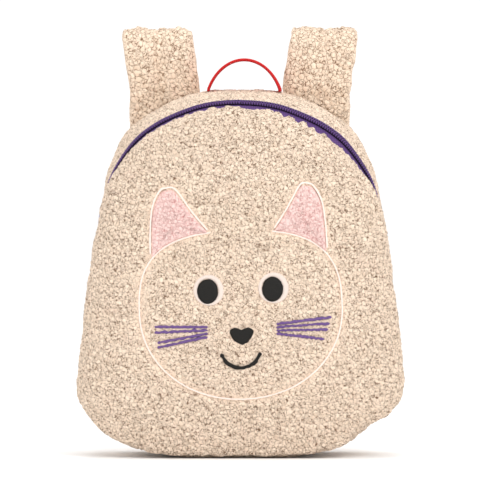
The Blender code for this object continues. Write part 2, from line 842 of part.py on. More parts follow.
def patch(name, outline, height, colour, roughness=0.9, shares=(0.75, 1.0)):
    """A raised pad inside an outline of x and z on the front."""
    outline = np.asarray(outline, float)
    centre = outline.mean(axis=0)
    count = len(outline)
    points = []
    for raised in (1, 0):
        for share in shares:
            for place in centre + (outline - centre) * share:
                up = height * (1 - 0.55 * share**6) if raised else 0.0
                points.append((place[0], front_depth(*place) - applique_gap - up, place[1]))
        up = height if raised else 0.0
        points.append((centre[0], front_depth(*centre) - applique_gap - up, centre[1]))
    layer = count * len(shares) + 1
    faces = []
    for base in (0, layer):
        for ring in range(len(shares) - 1):
            for k in range(count):
                beside = (k + 1) % count
                a = base + ring * count
                faces.append((a + k, a + beside, a + count + beside, a + count + k))
        for k in range(count):
            faces.append((base + layer - 1, base + k, base + (k + 1) % count))
    edge = count * (len(shares) - 1)
    for k in range(count):
        beside = (k + 1) % count
        faces.append((edge + k, edge + beside, layer + edge + beside, layer + edge + k))
    return add_mesh(name, points, faces, colour, roughness)


def head_place(angle):
    """A place on the head's line, angle from straight down."""
    up = -math.cos(angle)
    across = math.sin(angle)
    reach, power = (face_top, 2 / face_crown) if up > 0 else (face_bottom, 2 / face_chin)
    x = half_face * math.copysign(abs(across) ** power, across)
    z = reach * math.copysign(abs(up) ** power, up)
    return x, z


def ear_foot(side):
    return half_face * (ear_foot_left if side < 0 else ear_foot_right)


def head_line():
    dense = [head_place(math.radians(degree / 4)) for degree in range(-720, 721)]
    kept = [place for place in dense if place[1] < 0 or abs(place[0]) >= ear_foot(place[0])]
    return kept


ear_inset = line_width / 2 + seam_gap + 0.0002


def ear_line(side):
    pull = ear_foot(side) - EAR_ROWS[-1][0] * half_face
    last = len(EAR_ROWS) - 1
    rows = []
    for k, (across, up) in enumerate(EAR_ROWS):
        rows.append((side * (across * half_face + pull * max(0.0, (k - 4) / (last - 4))), up * ear_top))
    foot = ear_foot(side) / half_face
    rows[-1] = (rows[-1][0], face_top * (1 - foot**face_crown) ** (1 / face_crown) - line_width / 2)
    return through(rows, 8)


head = head_line()
stroke("head_outline", [on_face(*place) for place in evenly(head, 66)], line_width, line_height, CREAM_COLOUR)


def away_from_head(place, distance):
    """True if a place on the face is at least so far from the head's line."""
    gaps = np.linalg.norm(np.asarray(head) - np.asarray(place), axis=1)
    return gaps.min() >= distance


def ear(word, side):
    line = [place for place in ear_line(side) if away_from_head(place, line_width + seam_gap)]
    trim = evenly(line, 22)
    stroke(f"ear_trim_{word}", [on_face(*place) for place in trim], line_width, line_height, CREAM_COLOUR)
    outer = np.array(ear_line(side))
    inner_x, outer_x = ear_foot(side), EAR_ROWS[0][0] * half_face
    foot = [place for place in head if place[1] > 0 and inner_x < place[0] * side < outer_x]
    foot = sorted(foot, key=lambda place: -place[0] * side)
    foot = evenly(foot, 40)
    loop = np.vstack([outer, foot[::-1][1:-1]])
    centre = loop.mean(axis=0)
    ways = np.roll(loop, -1, axis=0) - np.roll(loop, 1, axis=0)
    ways = ways / np.linalg.norm(ways, axis=1)[:, None]
    aside = np.column_stack([ways[:, 1], -ways[:, 0]])
    aside = aside * np.sign(np.sum(aside * (centre - loop), axis=1))[:, None]
    held = loop + aside * ear_inset
    held = [place for place in held if np.linalg.norm(loop - place, axis=1).min() >= ear_inset * 0.999]
    held = evenly(np.vstack([held, held[:1]]), 27)[:-1]
    patch(
        f"ear_{word}", [on_face(*place) for place in held], ear_pile, PINK_COLOUR, shares=(0.45, 0.8, 1.0)
    )


ear("left", -1)
ear("right", 1)


def oval(x, z, across, up, count):
    return [
        on_face(x + across * math.cos(2 * math.pi * k / count), z + up * math.sin(2 * math.pi * k / count))
        for k in range(count)
    ]


def eye(word, side):
    x = side * eye_apart / 2
    patch(f"eye_{word}", oval(x, eye_up, eye_width / 2, eye_height / 2, 22), stitch_height, BLACK_COLOUR, 0.6)
    inside = np.array(oval(x, eye_up, eye_width / 2 + seam_gap, eye_height / 2 + seam_gap, 22))
    outside = np.array(oval(x + ring_across, eye_up + ring_up, ring_reach, ring_reach, 22))
    stroke(
        f"eye_ring_{word}",
        (inside + outside) / 2,
        np.linalg.norm(outside - inside, axis=1),
        ring_height,
        CREAM_COLOUR,
        closed=True,
    )


eye("left", -1)
eye("right", 1)

nose_half = [(across * nose_width / 2, up * nose_height / 2 - nose_drop) for across, up in NOSE_ROWS]
nose_loop = nose_half + [(-x, z) for x, z in reversed(nose_half[1:-1])]
patch("nose", [on_face(*place) for place in nose_loop], stitch_height, BLACK_COLOUR, 0.6, shares=(0.6, 1.0))

mouth_path = []
corner = math.radians(mouth_turn)
for step in range(19):
    angle = corner * (-1 + 2 * step / 18)
    droop = (math.cos(angle) - math.cos(corner)) / (1 - math.cos(corner))
    across = mouth_width / 2 * math.sin(angle) / math.sin(corner)
    mouth_path.append(on_face(mouth_shift + across, -mouth_drop - mouth_depth * droop))
stroke("mouth", mouth_path, mouth_line, stitch_height, BLACK_COLOUR)

for name, x0, z0, x1, z1 in WHISKERS:
    ends = np.array([(x0, z0), (x1, z1)]) * half_face + np.array([0.0, face_height])
    path = [ends[0] + (ends[1] - ends[0]) * share for share in np.linspace(0, 1, 6)]
    stroke(name, path, whisker_line, stitch_height, WHISKER_COLOUR)
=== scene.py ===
"""The looks of a kids backpack in curly fleece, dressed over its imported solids."""

import math

import bpy
import numpy as np
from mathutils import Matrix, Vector
from mathutils.bvhtree import BVHTree
from mathutils.kdtree import KDTree


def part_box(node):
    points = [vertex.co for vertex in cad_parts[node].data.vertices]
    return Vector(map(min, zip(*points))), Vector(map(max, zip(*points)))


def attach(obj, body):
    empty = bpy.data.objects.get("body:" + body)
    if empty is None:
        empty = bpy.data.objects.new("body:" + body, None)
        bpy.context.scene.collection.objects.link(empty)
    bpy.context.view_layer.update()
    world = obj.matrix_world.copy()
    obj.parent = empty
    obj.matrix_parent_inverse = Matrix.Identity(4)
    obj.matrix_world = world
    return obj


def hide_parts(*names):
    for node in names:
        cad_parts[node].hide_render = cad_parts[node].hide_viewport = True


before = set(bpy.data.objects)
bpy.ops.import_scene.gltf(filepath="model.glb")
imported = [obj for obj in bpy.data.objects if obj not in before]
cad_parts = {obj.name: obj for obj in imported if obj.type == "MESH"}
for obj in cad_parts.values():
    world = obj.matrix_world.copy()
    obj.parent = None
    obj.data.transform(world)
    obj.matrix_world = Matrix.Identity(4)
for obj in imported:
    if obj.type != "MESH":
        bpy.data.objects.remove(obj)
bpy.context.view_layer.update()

COARSE = 1.0

# Sizes of the bag, in metres, as its solids have them

body_height = 0.2406
body_width = 0.2144
front_reach = 0.048
back_reach = 0.046
hub_height = 0.118
sag = 0.004
sag_height = 0.080
sag_spread = 0.055
back_hollow = 0.003
gusset_puff = 0.0025
tape_recess = 0.0008
zip_end_turn = 106.0

strap_width = 0.0465
strap_thickness = 0.010
strap_top = 0.2830
strap_foot = 0.206
strap_end = 0.106
strap_reach = 0.0285
strap_place = 0.4757
strap_fullness_left = 1.05
strap_spread = 0.0050
strap_girth = 0.108

loop_width = 0.015
loop_thickness = 0.0020
loop_span = 0.0476
loop_rise = 0.0198
loop_shift = 0.0023
loop_start = 25.0
loop_twist = 0.25

face_height = 0.097
face_width = 0.1315
face_top = 0.0510
face_bottom = 0.0580
face_crown = 2.8
face_chin = 2.06
face_tilt = 2.0
ear_top = 0.0807
ear_foot_left = 0.268
ear_foot_right = 0.329
line_width = 0.0014
eye_width = 0.0140
eye_height = 0.0166
eye_apart = 0.0420
eye_up = 0.0127
ring_reach = 0.0100
ring_across = 0.0007
ring_up = 0.0009
nose_width = 0.0165
nose_height = 0.0116
nose_drop = 0.0170
mouth_width = 0.0252
mouth_depth = 0.0098
mouth_line = 0.0024
mouth_drop = 0.0278
mouth_shift = -0.0010
mouth_turn = 76.0
whisker_line = 0.0016

half_width = body_width / 2
half_face = face_width / 2

# Sizes of the cloth, the zip's teeth and the stitches

fleece_wall = 0.0034
fleece_curl = 0.0026
curl_depth = 0.0014
lump_size = 0.011
lump_height = 0.0004
nap_depth = 0.0009
edge_fray = 0.0022
tape_wall = 0.0009
floor_gap = 0.0002
coil_width = 0.0046
coil_height = 0.0017
tooth_pitch = 0.0017
tooth_steps = 6
stitch_step = 0.0006
stitch_sunk = 0.0012
thread_gap = 0.0002

# Where stitches can press the nap on the front, and the way from a nub to its underside, where shadow is
# painted

press_across = 0.076
press_low = 0.030
press_high = 0.186
PAINTED_SHADOW_WAY = (-0.50, 0.25, -0.80)

# Floor, light and camera

floor_reach = 60.0
light_target = Vector((0.0, 0.0, 0.14))
photo_pixels = 480
pixel = 0.0006575
camera_distance = 3.2
camera_lift = 1.0
look_at = Vector((-0.0005, 0.0, 0.1414))

# Round the bag from the middle of the base to the middle of the top. The columns are shares of the
# sizes above: across, up, then for each seam line how far in it lies and where it is in depth.
SECTION_COLUMNS = (
    "across", "up", "wide_in", "wide_y", "seam_in", "seam_y", "band_in", "band_y", "back_in", "back_y"
)
SECTIONS = (
    (0.000, 0.0000, 0.020, -0.80, 0.000, -0.62, 0.000, -0.40, 0.000, 0.74),
    (0.300, 0.0010, 0.020, -0.80, 0.000, -0.62, 0.000, -0.40, 0.000, 0.74),
    (0.520, 0.0125, 0.008, -0.76, 0.004, -0.58, 0.004, -0.36, 0.010, 0.76),
    (0.700, 0.0350, 0.002, -0.68, 0.008, -0.50, 0.008, -0.28, 0.022, 0.78),
    (0.849, 0.0750, 0.000, -0.58, 0.012, -0.38, 0.012, -0.14, 0.034, 0.80),
    (0.969, 0.1390, 0.000, -0.48, 0.016, -0.24, 0.016, 0.02, 0.040, 0.84),
    (1.000, 0.2000, 0.000, -0.42, 0.018, -0.14, 0.018, 0.12, 0.040, 0.87),
    (0.981, 0.2950, 0.000, -0.38, 0.020, -0.06, 0.020, 0.20, 0.040, 0.88),
    (0.951, 0.4250, 0.000, -0.36, 0.024, -0.02, 0.024, 0.24, 0.040, 0.88),
    (0.908, 0.5790, 0.000, -0.36, 0.034, -0.02, 0.034, 0.24, 0.038, 0.88),
    (0.852, 0.7170, 0.026, -0.40, 0.042, -0.10, 0.038, 0.17, 0.024, 0.89),
    (0.802, 0.7960, 0.074, -0.45, 0.077, -0.20, 0.056, 0.08, 0.010, 0.90),
    (0.704, 0.8850, 0.126, -0.52, 0.130, -0.30, 0.081, -0.05, 0.000, 0.90),
    (0.560, 0.9350, 0.130, -0.57, 0.132, -0.36, 0.078, -0.14, 0.000, 0.90),
    (0.392, 0.9760, 0.144, -0.60, 0.144, -0.40, 0.088, -0.19, 0.000, 0.90),
    (0.215, 0.9965, 0.137, -0.61, 0.137, -0.42, 0.080, -0.21, 0.000, 0.90),
    (0.000, 1.0000, 0.125, -0.61, 0.125, -0.42, 0.069, -0.21, 0.000, 0.90),
)
# Where the outline and the front's seam aren't the same on both sides: turn, reach, inward
OUTLINE_TUCKS = (
    (40.0, 15.0, 0.015),
    (88.0, 10.0, 0.005),
    (115.0, 16.0, -0.005),
    (130.0, 9.0, -0.003),
    (-38.0, 12.0, -0.003),
    (-68.0, 14.0, 0.004),
    (-110.0, 12.0, 0.006),
    (-129.0, 11.0, -0.005),
)
SEAM_TUCKS = (
    (145.0, 24.0, 0.0125),
    (-152.0, 22.0, -0.009),
)
DENTS = (
    (-0.80, -0.60, 0.110, -0.66, -0.78, 0.050, 0.012, 0.040),
    (0.80, -0.50, 0.085, 0.72, -0.70, 0.065, 0.014, 0.036),
    (0.90, 0.10, 0.105, 0.80, -0.50, 0.085, 0.016, 0.040),
    (-0.96, -0.10, 0.560, -0.84, -0.62, 0.470, 0.006, 0.050),
    (0.94, -0.10, 0.640, 0.86, -0.60, 0.520, 0.006, 0.050),
)
STRAP_ROWS = (
    (0, 0.00, -0.116, -0.12, 0.97, 0.34),
    (0, 0.22, -0.020, -0.12, 1.00, 0.88),
    (0, 0.46, -0.020, -0.08, 1.00, 1.00),
    (0, 0.66, 0.000, 0.25, 1.00, 1.00),
    (0, 0.83, 0.090, 0.68, 1.00, 1.00),
    (0, 0.95, 0.260, 0.92, 0.99, 1.00),
    (0, 1.00, 0.480, 1.00, 0.98, 1.00),
    (1, 0.965, 0.740, 0.90, 0.98, 1.00),
    (1, 0.89, 0.900, 0.48, 0.98, 1.00),
    (1, 0.73, 0.970, -0.15, 0.97, 1.00),
    (1, 0.52, 1.000, 0.10, 0.98, 1.00),
    (1, 0.30, 0.970, 0.85, 0.99, 1.00),
    (1, 0.10, 0.920, 1.45, 0.94, 0.96),
    (1, 0.02, 0.900, 1.60, 0.82, 0.80),
    (1, 0.00, 0.900, 1.60, 0.66, 0.56),
)
STRAP_SECTION = (
    (-1.00, 0.00),
    (-0.94, 0.72),
    (-0.60, 1.00),
    (-0.16, 0.90),
    (0.00, 0.66),
    (0.16, 0.90),
    (0.60, 1.00),
    (0.94, 0.72),
)
EAR_ROWS = (
    (0.874, 0.429),
    (0.865, 0.665),
    (0.835, 0.852),
    (0.762, 0.972),
    (0.686, 0.999),
    (0.618, 0.978),
    (0.482, 0.793),
    (0.329, 0.612),
)
NOSE_ROWS = (
    (0.00, -1.00),
    (0.36, -0.80),
    (0.72, -0.30),
    (0.98, 0.30),
    (0.94, 0.74),
    (0.62, 1.00),
    (0.28, 0.90),
    (0.00, 0.70),
)
WHISKERS = (
    ("left_1", -0.324, -0.169, -0.851, -0.168),
    ("left_2", -0.324, -0.200, -0.851, -0.225),
    ("left_3", -0.324, -0.232, -0.822, -0.327),
    ("left_4", -0.324, -0.265, -0.822, -0.373),
    ("right_1", 0.350, -0.138, 0.897, -0.074),
    ("right_2", 0.350, -0.170, 0.878, -0.134),
    ("right_3", 0.350, -0.201, 0.863, -0.197),
    ("right_4", 0.350, -0.232, 0.825, -0.288),
)


# Smooth lines


def through(rows, steps, mirrored=False):
    """Points on a smooth curve through the rows. mirrored: the first column changes sign past both ends."""
    rows = np.asarray(rows, float)
    before = 2 * rows[0] - rows[1]
    after = 2 * rows[-1] - rows[-2]
    if mirrored:
        flip = np.ones(rows.shape[1])
        flip[0] = -1
        before = rows[1] * flip
        after = rows[-2] * flip
    held = np.vstack([before, rows, after])
    made = []
    for k in range(1, len(held) - 2):
        a, b, c, d = held[k - 1], held[k], held[k + 1], held[k + 2]
        for step in range(steps):
            t = step / steps
            bend = (2 * a - 5 * b + 4 * c - d) * t**2 + (3 * b - a - 3 * c + d) * t**3
            made.append(0.5 * (2 * b + (c - a) * t + bend))
    made.append(rows[-1])
    return np.array(made)


def evenly(points, count):
    """The same line with its points at even distances."""
    points = np.asarray(points, float)
    lengths = np.linalg.norm(np.diff(points, axis=0), axis=1)
    along = np.concatenate([[0], np.cumsum(lengths)])
    wanted = np.linspace(0, along[-1], count)
    return np.column_stack([np.interp(wanted, along, points[:, k]) for k in range(points.shape[1])])


def line_length(points):
    return float(np.linalg.norm(np.diff(np.asarray(points, float), axis=0), axis=1).sum())


def unit(vectors):
    return vectors / np.maximum(np.linalg.norm(vectors, axis=-1, keepdims=True), 1e-12)


# The bag's skin

fine_rows = through(SECTIONS, 12, mirrored=True)
outline_x = fine_rows[:, 0] * half_width
outline_z = np.maximum(fine_rows[:, 1] * body_height, 0)
outline_turn = np.degrees(np.arctan2(outline_x, hub_height - outline_z))
outline_radius = np.hypot(outline_x, outline_z - hub_height)


def section_value(column, turn):
    place = SECTION_COLUMNS.index(column)
    value = np.interp(np.abs(turn), outline_turn, fine_rows[:, place])
    if column.endswith("_y"):
        return np.where(value < 0, value * front_reach, value * back_reach)
    return value * half_width


def rim(name, turn):
    radius = np.interp(np.abs(turn), outline_turn, outline_radius)
    tucks = OUTLINE_TUCKS + (SEAM_TUCKS if name in ("wide", "seam") else ())
    for middle, reach, inward in tucks:
        radius = radius - inward * body_width * np.exp(-(((turn - middle) / reach) ** 2))
    return radius - section_value(name + "_in", turn), section_value(name + "_y", turn)


def skin(zone, share, turn):
    """Points on the bag's outside: zone and share say where from front to back, turn where round it."""
    turn = (np.asarray(turn, float) + 180) % 360 - 180
    wide_r, wide_y = rim("wide", turn)
    seam_r, seam_y = rim("seam", turn)
    band_r, band_y = rim("band", turn)
    back_r, back_y = rim("back", turn)
    quarter = math.radians(90 * share)
    if zone == "front":
        radius = wide_r * math.sin(quarter) ** 0.85
        rise = math.cos(quarter) ** 0.80 if share < 1 else 0.0
        depth = wide_y - (wide_y + front_reach) * rise
        height = hub_height - radius * np.cos(np.radians(turn))
        fall = np.exp(-(((height - sag_height) / sag_spread) ** 2))
        depth = depth - sag * fall * (1 - math.sin(quarter) ** 3)
    elif zone == "lip":
        radius = wide_r + (seam_r - wide_r) * (1 - math.cos(quarter))
        depth = wide_y + (seam_y - wide_y) * math.sin(quarter)
    elif zone == "band":
        radius = seam_r + (band_r - seam_r) * share - tape_recess * math.sin(math.pi * share)
        depth = seam_y + (band_y - seam_y) * share
    elif zone == "gusset":
        puff = gusset_puff * math.sin(math.pi * share) * np.clip(np.abs(turn) / 45 - 0.6, 0, 1)
        radius = band_r + (back_r - band_r) * share + puff
        depth = band_y + (back_y - band_y) * share
    else:
        radius = back_r * math.cos(quarter) ** 0.9 if share < 1 else back_r * 0
        bulge = math.sin(quarter) ** 0.75 if share else 0.0
        depth = back_y + (back_reach - back_y) * bulge
        depth = depth - back_hollow * share**4
    angle = np.radians(turn)
    height = hub_height - radius * np.cos(angle)
    points = np.stack([radius * np.sin(angle), depth + 0 * radius, height], axis=-1)
    for x0, y0, z0, x1, y1, z1, deep, spread in DENTS:
        first = np.array([x0 * half_width, y0 * front_reach, z0 * body_height])
        last = np.array([x1 * half_width, y1 * front_reach, z1 * body_height])
        line = last - first
        along = np.clip(((points - first) @ line) / (line @ line), 0, 1)
        away = np.linalg.norm(points - first - along[..., None] * line, axis=-1)
        press = deep * body_width * np.exp(-((away / (spread * body_width)) ** 2))
        inward = np.array([0.0, 0.0, hub_height]) - points
        inward = inward / np.linalg.norm(inward, axis=-1)[..., None]
        points = points + inward * press[..., None]
    points[..., 2] = np.maximum(points[..., 2], 0.0)
    return points


def skin_facing(zone, share, turn):
    """The outward direction of the skin."""
    low, high = max(share - 0.01, 0.002), min(share + 0.01, 0.998)
    along = skin(zone, high, turn) - skin(zone, low, turn)
    around = skin(zone, share, turn + 0.4) - skin(zone, share, turn - 0.4)
    facing = unit(np.cross(along, around))
    away = skin(zone, share, turn) - np.array([0.0, 0.0, hub_height])
    return facing * np.sign(np.sum(facing * away, axis=-1, keepdims=True))


def round_turns(count, first=0.0, last=360.0):
    """Turns at even distances along the outline."""
    x = np.concatenate([outline_x, -outline_x[-2::-1]])
    z = np.concatenate([outline_z, outline_z[-2::-1]])
    turn = np.concatenate([outline_turn, 360 - outline_turn[-2::-1]])
    line = np.column_stack([x, z])
    along = np.concatenate([[0], np.cumsum(np.linalg.norm(np.diff(line, axis=0), axis=1))])
    start = np.interp(first % 360 if first < 0 else first, turn, along)
    if first < 0:
        start -= along[-1]
    end = np.interp(last, turn, along)
    wanted = np.linspace(start, end, count + 1) % along[-1]
    if first == 0 and last == 360:
        wanted = wanted[:-1]
    return np.interp(wanted, along, turn)


def stations(zones, spacing, turn):
    """Zones and shares at even distances from front to back, measured on average round the bag."""
    dense = [(zone, share) for zone, low, high in zones for share in np.linspace(low, high, 90)]
    rows = np.array([skin(zone, share, turn) for zone, share in dense])
    steps = np.linalg.norm(np.diff(rows, axis=0), axis=-1).mean(axis=1)
    along = np.concatenate([[0], np.cumsum(steps)])
    count = max(3, int(round(along[-1] / spacing)))
    made = []
    for place in np.linspace(0, along[-1], count + 1):
        k = min(int(np.searchsorted(along, place)), len(dense) - 1)
        before = max(k - 1, 0)
        gap = along[k] - along[before]
        part = (place - along[before]) / gap if gap > 0 else 1.0
        zone, share = dense[k]
        if dense[before][0] == zone:
            share = dense[before][1] + (share - dense[before][1]) * part
        made.append((zone, float(share)))
    return made


# Curly pile


def wander(points, size, seed):
    """A smooth random direction for each point that changes over about the given size."""
    pick = np.random.default_rng(seed)
    moved = np.zeros_like(points)
    for _ in range(7):
        way = pick.normal(size=3)
        way = way / np.linalg.norm(way) * 2 * math.pi / size * pick.uniform(0.5, 1.2)
        moved += np.sin(points @ way + pick.uniform(0, 6.28))[:, None] * pick.normal(size=3) * 0.45
    return moved


def scatter(cell, seed):
    """Three even random numbers for each whole-number cell."""
    mixed = (cell[:, 0] * 73856093) ^ (cell[:, 1] * 19349663) ^ (cell[:, 2] * 83492791) ^ (seed * 2654435)
    mixed = mixed & 0xFFFFFFFF
    made = []
    for turn in (0x7FEB352D, 0x68E31DA4, 0x2C1B3C6D):
        mixed = ((mixed ^ (mixed >> 15)) * turn) & 0xFFFFFFFF
        mixed = mixed ^ (mixed >> 13)
        made.append((mixed & 0xFFFF) / 65536)
    return np.stack(made, axis=-1)


def curls(points, size, seed):
    """Distance to the nearest and second nearest curl, in curl sizes, and the nearest one's own number."""
    place = points / size
    base = np.floor(place).astype(np.int64)
    near = np.full(len(points), 9.0)
    second = np.full(len(points), 9.0)
    tone = np.zeros(len(points))
    for step in np.ndindex(3, 3, 3):
        cell = base + step - 1
        spot = scatter(cell, seed)
        away = np.linalg.norm(place - cell - spot, axis=1)
        closer = away < near
        second = np.where(closer, near, np.minimum(second, away))
        tone = np.where(closer, spot[:, 0] * 0.5 + spot[:, 2] * 0.5, tone)
        near = np.where(closer, away, near)
    return near, second, tone


def soft_step(value, low, high):
    share = np.clip((value - low) / (high - low), 0, 1)
    return share * share * (3 - 2 * share)


def curly(points, facing, press, size=fleece_curl, depth=curl_depth, seed=3):
    """Points moved out into curls, with the height and the tone of each. press: 1 where the nap is flat."""
    bent = points + wander(points, size * 2.4, seed) * size * 0.20
    bent = bent + wander(points, size, seed + 1) * size * 0.10
    near, second, tone = curls(bent, size, seed)
    ball = np.sqrt(np.clip(1 - (near / 0.80) ** 2, 0, 1))
    crease = soft_step(second - near, 0.0, 0.30)
    near_small, second_small, tone_small = curls(bent, size * 0.52, seed + 5)
    grain = soft_step(second_small - near_small, 0.0, 0.4) * (1 - near_small * 0.6)
    height = ball * (0.35 + 0.65 * crease) * 0.74 + grain * 0.26
    broad = wander(points, lump_size, seed + 9)[:, 0]
    high = depth * (height - 0.52) * (1 - 0.72 * press)
    high = high + lump_height * broad * (1 - 0.5 * press) - nap_depth * press
    tone = tone * 0.6 + tone_small * 0.2 + 0.1 + broad * 0.08
    return points + facing * high[:, None], height, tone


# Meshes


def placed(name, data):
    """A new object in the scene."""
    item = bpy.data.objects.new(name, data)
    bpy.context.scene.collection.objects.link(item)
    return item


def body_of_cloth(name, points, tris, quads, finish, marks=None):
    """A closed piece with its faces turned outwards, and numbers marked on its points."""
    split = np.vstack([quads[:, [0, 1, 2]], quads[:, [0, 2, 3]], tris])
    centred = points - points.mean(axis=0)
    a, b, c = (centred[split[:, corner]] for corner in range(3))
    if np.sum(np.cross(a, b) * c) < 0:
        tris, quads = tris[:, ::-1], quads[:, ::-1]
    mesh = bpy.data.meshes.new(name)
    corners = np.concatenate([tris.ravel(), quads.ravel()])
    sizes = np.repeat([3, 4], [len(tris), len(quads)])
    mesh.vertices.add(len(points))
    mesh.vertices.foreach_set("co", points.ravel())
    mesh.loops.add(len(corners))
    mesh.loops.foreach_set("vertex_index", corners)
    mesh.polygons.add(len(sizes))
    mesh.polygons.foreach_set("loop_start", np.cumsum(sizes) - sizes)
    mesh.polygons.foreach_set("use_smooth", np.ones(len(sizes), bool))
    mesh.update(calc_edges=True)
    for word, values in (marks or {}).items():
        full = np.zeros(len(points))
        full[: len(values)] = values
        mesh.attributes.new(word, "FLOAT", "POINT").data.foreach_set("value", full)
    mesh.validate()
    mesh.materials.append(finish)
    return placed(name, mesh)


def dress(piece, node):
    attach(piece, "root")
    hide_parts(node)


def fan(tip, start, count):
    """Triangles from a tip to the closed ring of points that begins at start."""
    ring = np.arange(count)
    return np.column_stack([np.full(count, tip), start + (ring + 1) % count, start + ring])


def between_rings(first, count_a, second, count_b):
    """Triangles or quads between two closed rings, one with as many points as the other or twice them."""
    a = np.arange(count_a)
    near, after = first + a, first + (a + 1) % count_a
    if count_a == count_b:
        quads = np.column_stack([near, after, second + (a + 1) % count_a, second + a])
        return np.zeros((0, 3), int), quads
    if count_b == 2 * count_a:
        one, two, three = (second + (2 * a + step) % count_b for step in range(3))
        rows = ((near, two, one), (near, after, two), (after, three, two))
        return np.vstack([np.column_stack(row) for row in rows]), np.zeros((0, 4), int)
    tris, quads = between_rings(second, count_b, first, count_a)
    return tris[:, ::-1], quads[:, ::-1]


def fray(rows):
    """The front's last rows of points, pushed out over the zip tape in ragged tufts."""
    turn = round_turns(len(rows[-1]))
    along = unit(skin("band", 0.4, turn) - skin("band", 0.0, turn)) + skin_facing("band", 0.3, turn) * 0.35
    ragged = 0.6 * wander(rows[-1], 0.007, 41)[:, 1] + 0.7 * wander(rows[-1], 0.0036, 42)[:, 0]
    top = soft_step(np.abs(turn - 180), 90, 60)
    middle = soft_step(np.abs(turn - 174), 46, 20)
    bare = 1 - 0.85 * np.exp(-(((turn - 216) / 13) ** 2))
    reach = edge_fray * np.clip(0.25 + 0.6 * middle + ragged, 0, 1.4) * top * bare
    for back, share in ((1, 1.0), (2, 0.75), (3, 0.5), (4, 0.25)):
        rows[-back] = rows[-back] + along * (reach * share)[:, None]


def panel(name, zones, spacing, node, press_at):
    """A whole panel of curly cloth between its middle and its seam, closed behind."""
    front = node == "front_panel"
    sample = round_turns(24)
    rows = stations(zones, spacing, sample)
    inside = stations(zones, spacing * 14, sample)[1:-1]
    points, facings = [], []
    for zone, share in rows[1:] if front else rows[-2::-1]:
        rough = skin(zone, share, sample)
        length = np.linalg.norm(rough - np.roll(rough, 1, axis=0), axis=1).sum()
        most = max(12, length / (spacing * 0.80))
        turn = round_turns(max(12 * 2**k for k in range(7) if 12 * 2**k <= most))
        points.append(skin(zone, share, turn))
        facings.append(skin_facing(zone, share, turn))
    if front:
        fray(points)
    inner = [points[-1] - facings[-1] * fleece_wall]
    for zone, share in inside[::-1] if front else inside:
        turn = round_turns(max(len(inner[-1]) // 2, 24))
        inner.append(skin(zone, share, turn) - skin_facing(zone, share, turn) * fleece_wall)
    outer = np.vstack([*points, points[0].mean(axis=0)])
    facing = np.vstack([*facings, unit(facings[0].mean(axis=0))])
    press = press_at(outer)
    moved, height, tone = curly(outer, facing, press)
    moved[:, 2] = np.maximum(moved[:, 2], floor_gap)
    everything = np.vstack([moved, *inner, inner[-1].mean(axis=0)])
    counts = [len(row) for row in points + inner]
    starts = np.cumsum([0, *counts[:-1]])
    starts[len(points) :] += 1
    tris = [fan(len(outer) - 1, 0, counts[0]), fan(len(everything) - 1, starts[-1], counts[-1])[:, ::-1]]
    quads = []
    for k in range(len(counts) - 1):
        some_tris, some_quads = between_rings(starts[k], counts[k], starts[k + 1], counts[k + 1])
        tris.append(some_tris)
        quads.append(some_quads)
    tris, quads = np.vstack(tris), np.vstack(quads)
    marks = {"curl": height, "tone": tone, "press": press}
    dress(body_of_cloth(name, everything, tris, quads, beige_fleece, marks), node)


def loop_faces(rows, across, closed=False):
    """Quads of a tube of closed loops, and fans to its two tips, whose numbers follow the loops' own."""
    grid = np.arange(rows * across).reshape(rows, across)
    if closed:
        grid = np.vstack([grid, grid[:1]])
    beside = np.roll(grid, -1, axis=1)
    quads = np.stack([grid[:-1], beside[:-1], beside[1:], grid[1:]], axis=-1).reshape(-1, 4)
    tip = rows * across
    fans = [fan(tip, 0, across), fan(tip + 1, tip - across, across)[:, ::-1]]
    return (np.zeros((0, 3), int) if closed else np.vstack(fans)), quads


def tube(name, loops, finish, marks=None, closed=False):
    """A solid through closed loops, with a tip at each end unless it is closed on itself."""
    points = loops.reshape(-1, 3)
    if not closed:
        points = np.vstack([points, loops[0].mean(axis=0), loops[-1].mean(axis=0)])
    return body_of_cloth(name, points, *loop_faces(*loops.shape[:2], closed), finish, marks)


def strip(name, zones, spacing, first, last, node, press_at, under, tape=False):
    """A strip of cloth between two seams, over part of the way round, closed behind.

    under: the places before and after it where its edges run on below the cloth beside them.
    """
    length = line_length(skin("gusset", 0.5, round_turns(200, first, last)))
    turn = round_turns(int(length / spacing), first, last)
    rows = stations(zones, spacing, turn[:: max(1, len(turn) // 12)])
    outer = np.stack([skin(zone, share, turn) for zone, share in rows], axis=1)
    facing = np.stack([skin_facing(zone, share, turn) for zone, share in rows], axis=1)
    shape = outer.shape
    moved = outer.reshape(-1, 3)
    press = press_at(moved)
    height = tone = np.full(len(moved), 0.5)
    if not tape:
        moved, height, tone = curly(moved, facing.reshape(-1, 3), press)
    moved = moved.reshape(shape)
    moved[..., 2] = np.maximum(moved[..., 2], floor_gap)
    edges = []
    for zone, share, sunk in under:
        edge = skin(zone, share, turn) - skin_facing(zone, share, turn) * sunk
        edge[..., 2] = np.maximum(edge[..., 2], 2 * floor_gap)
        edges.append(edge[:, None])
    picks = np.linspace(shape[1] - 1, 0, 5).astype(int)
    inner = (outer - facing * (tape_wall if tape else fleece_wall))[:, picks]
    inner[..., 2] = np.maximum(inner[..., 2], 3 * floor_gap)
    loops = np.concatenate([edges[0], moved, edges[1], inner], axis=1)
    around = ((0, 0), (1, len(picks) + 1))
    marks = {
        word: np.pad(values.reshape(shape[:2]), around).ravel()
        for word, values in (("curl", height), ("tone", tone), ("press", press))
    }
    piece = tube(name, loops, tape_weave if tape else beige_fleece, marks)
    dress(piece, node)


# Finishes


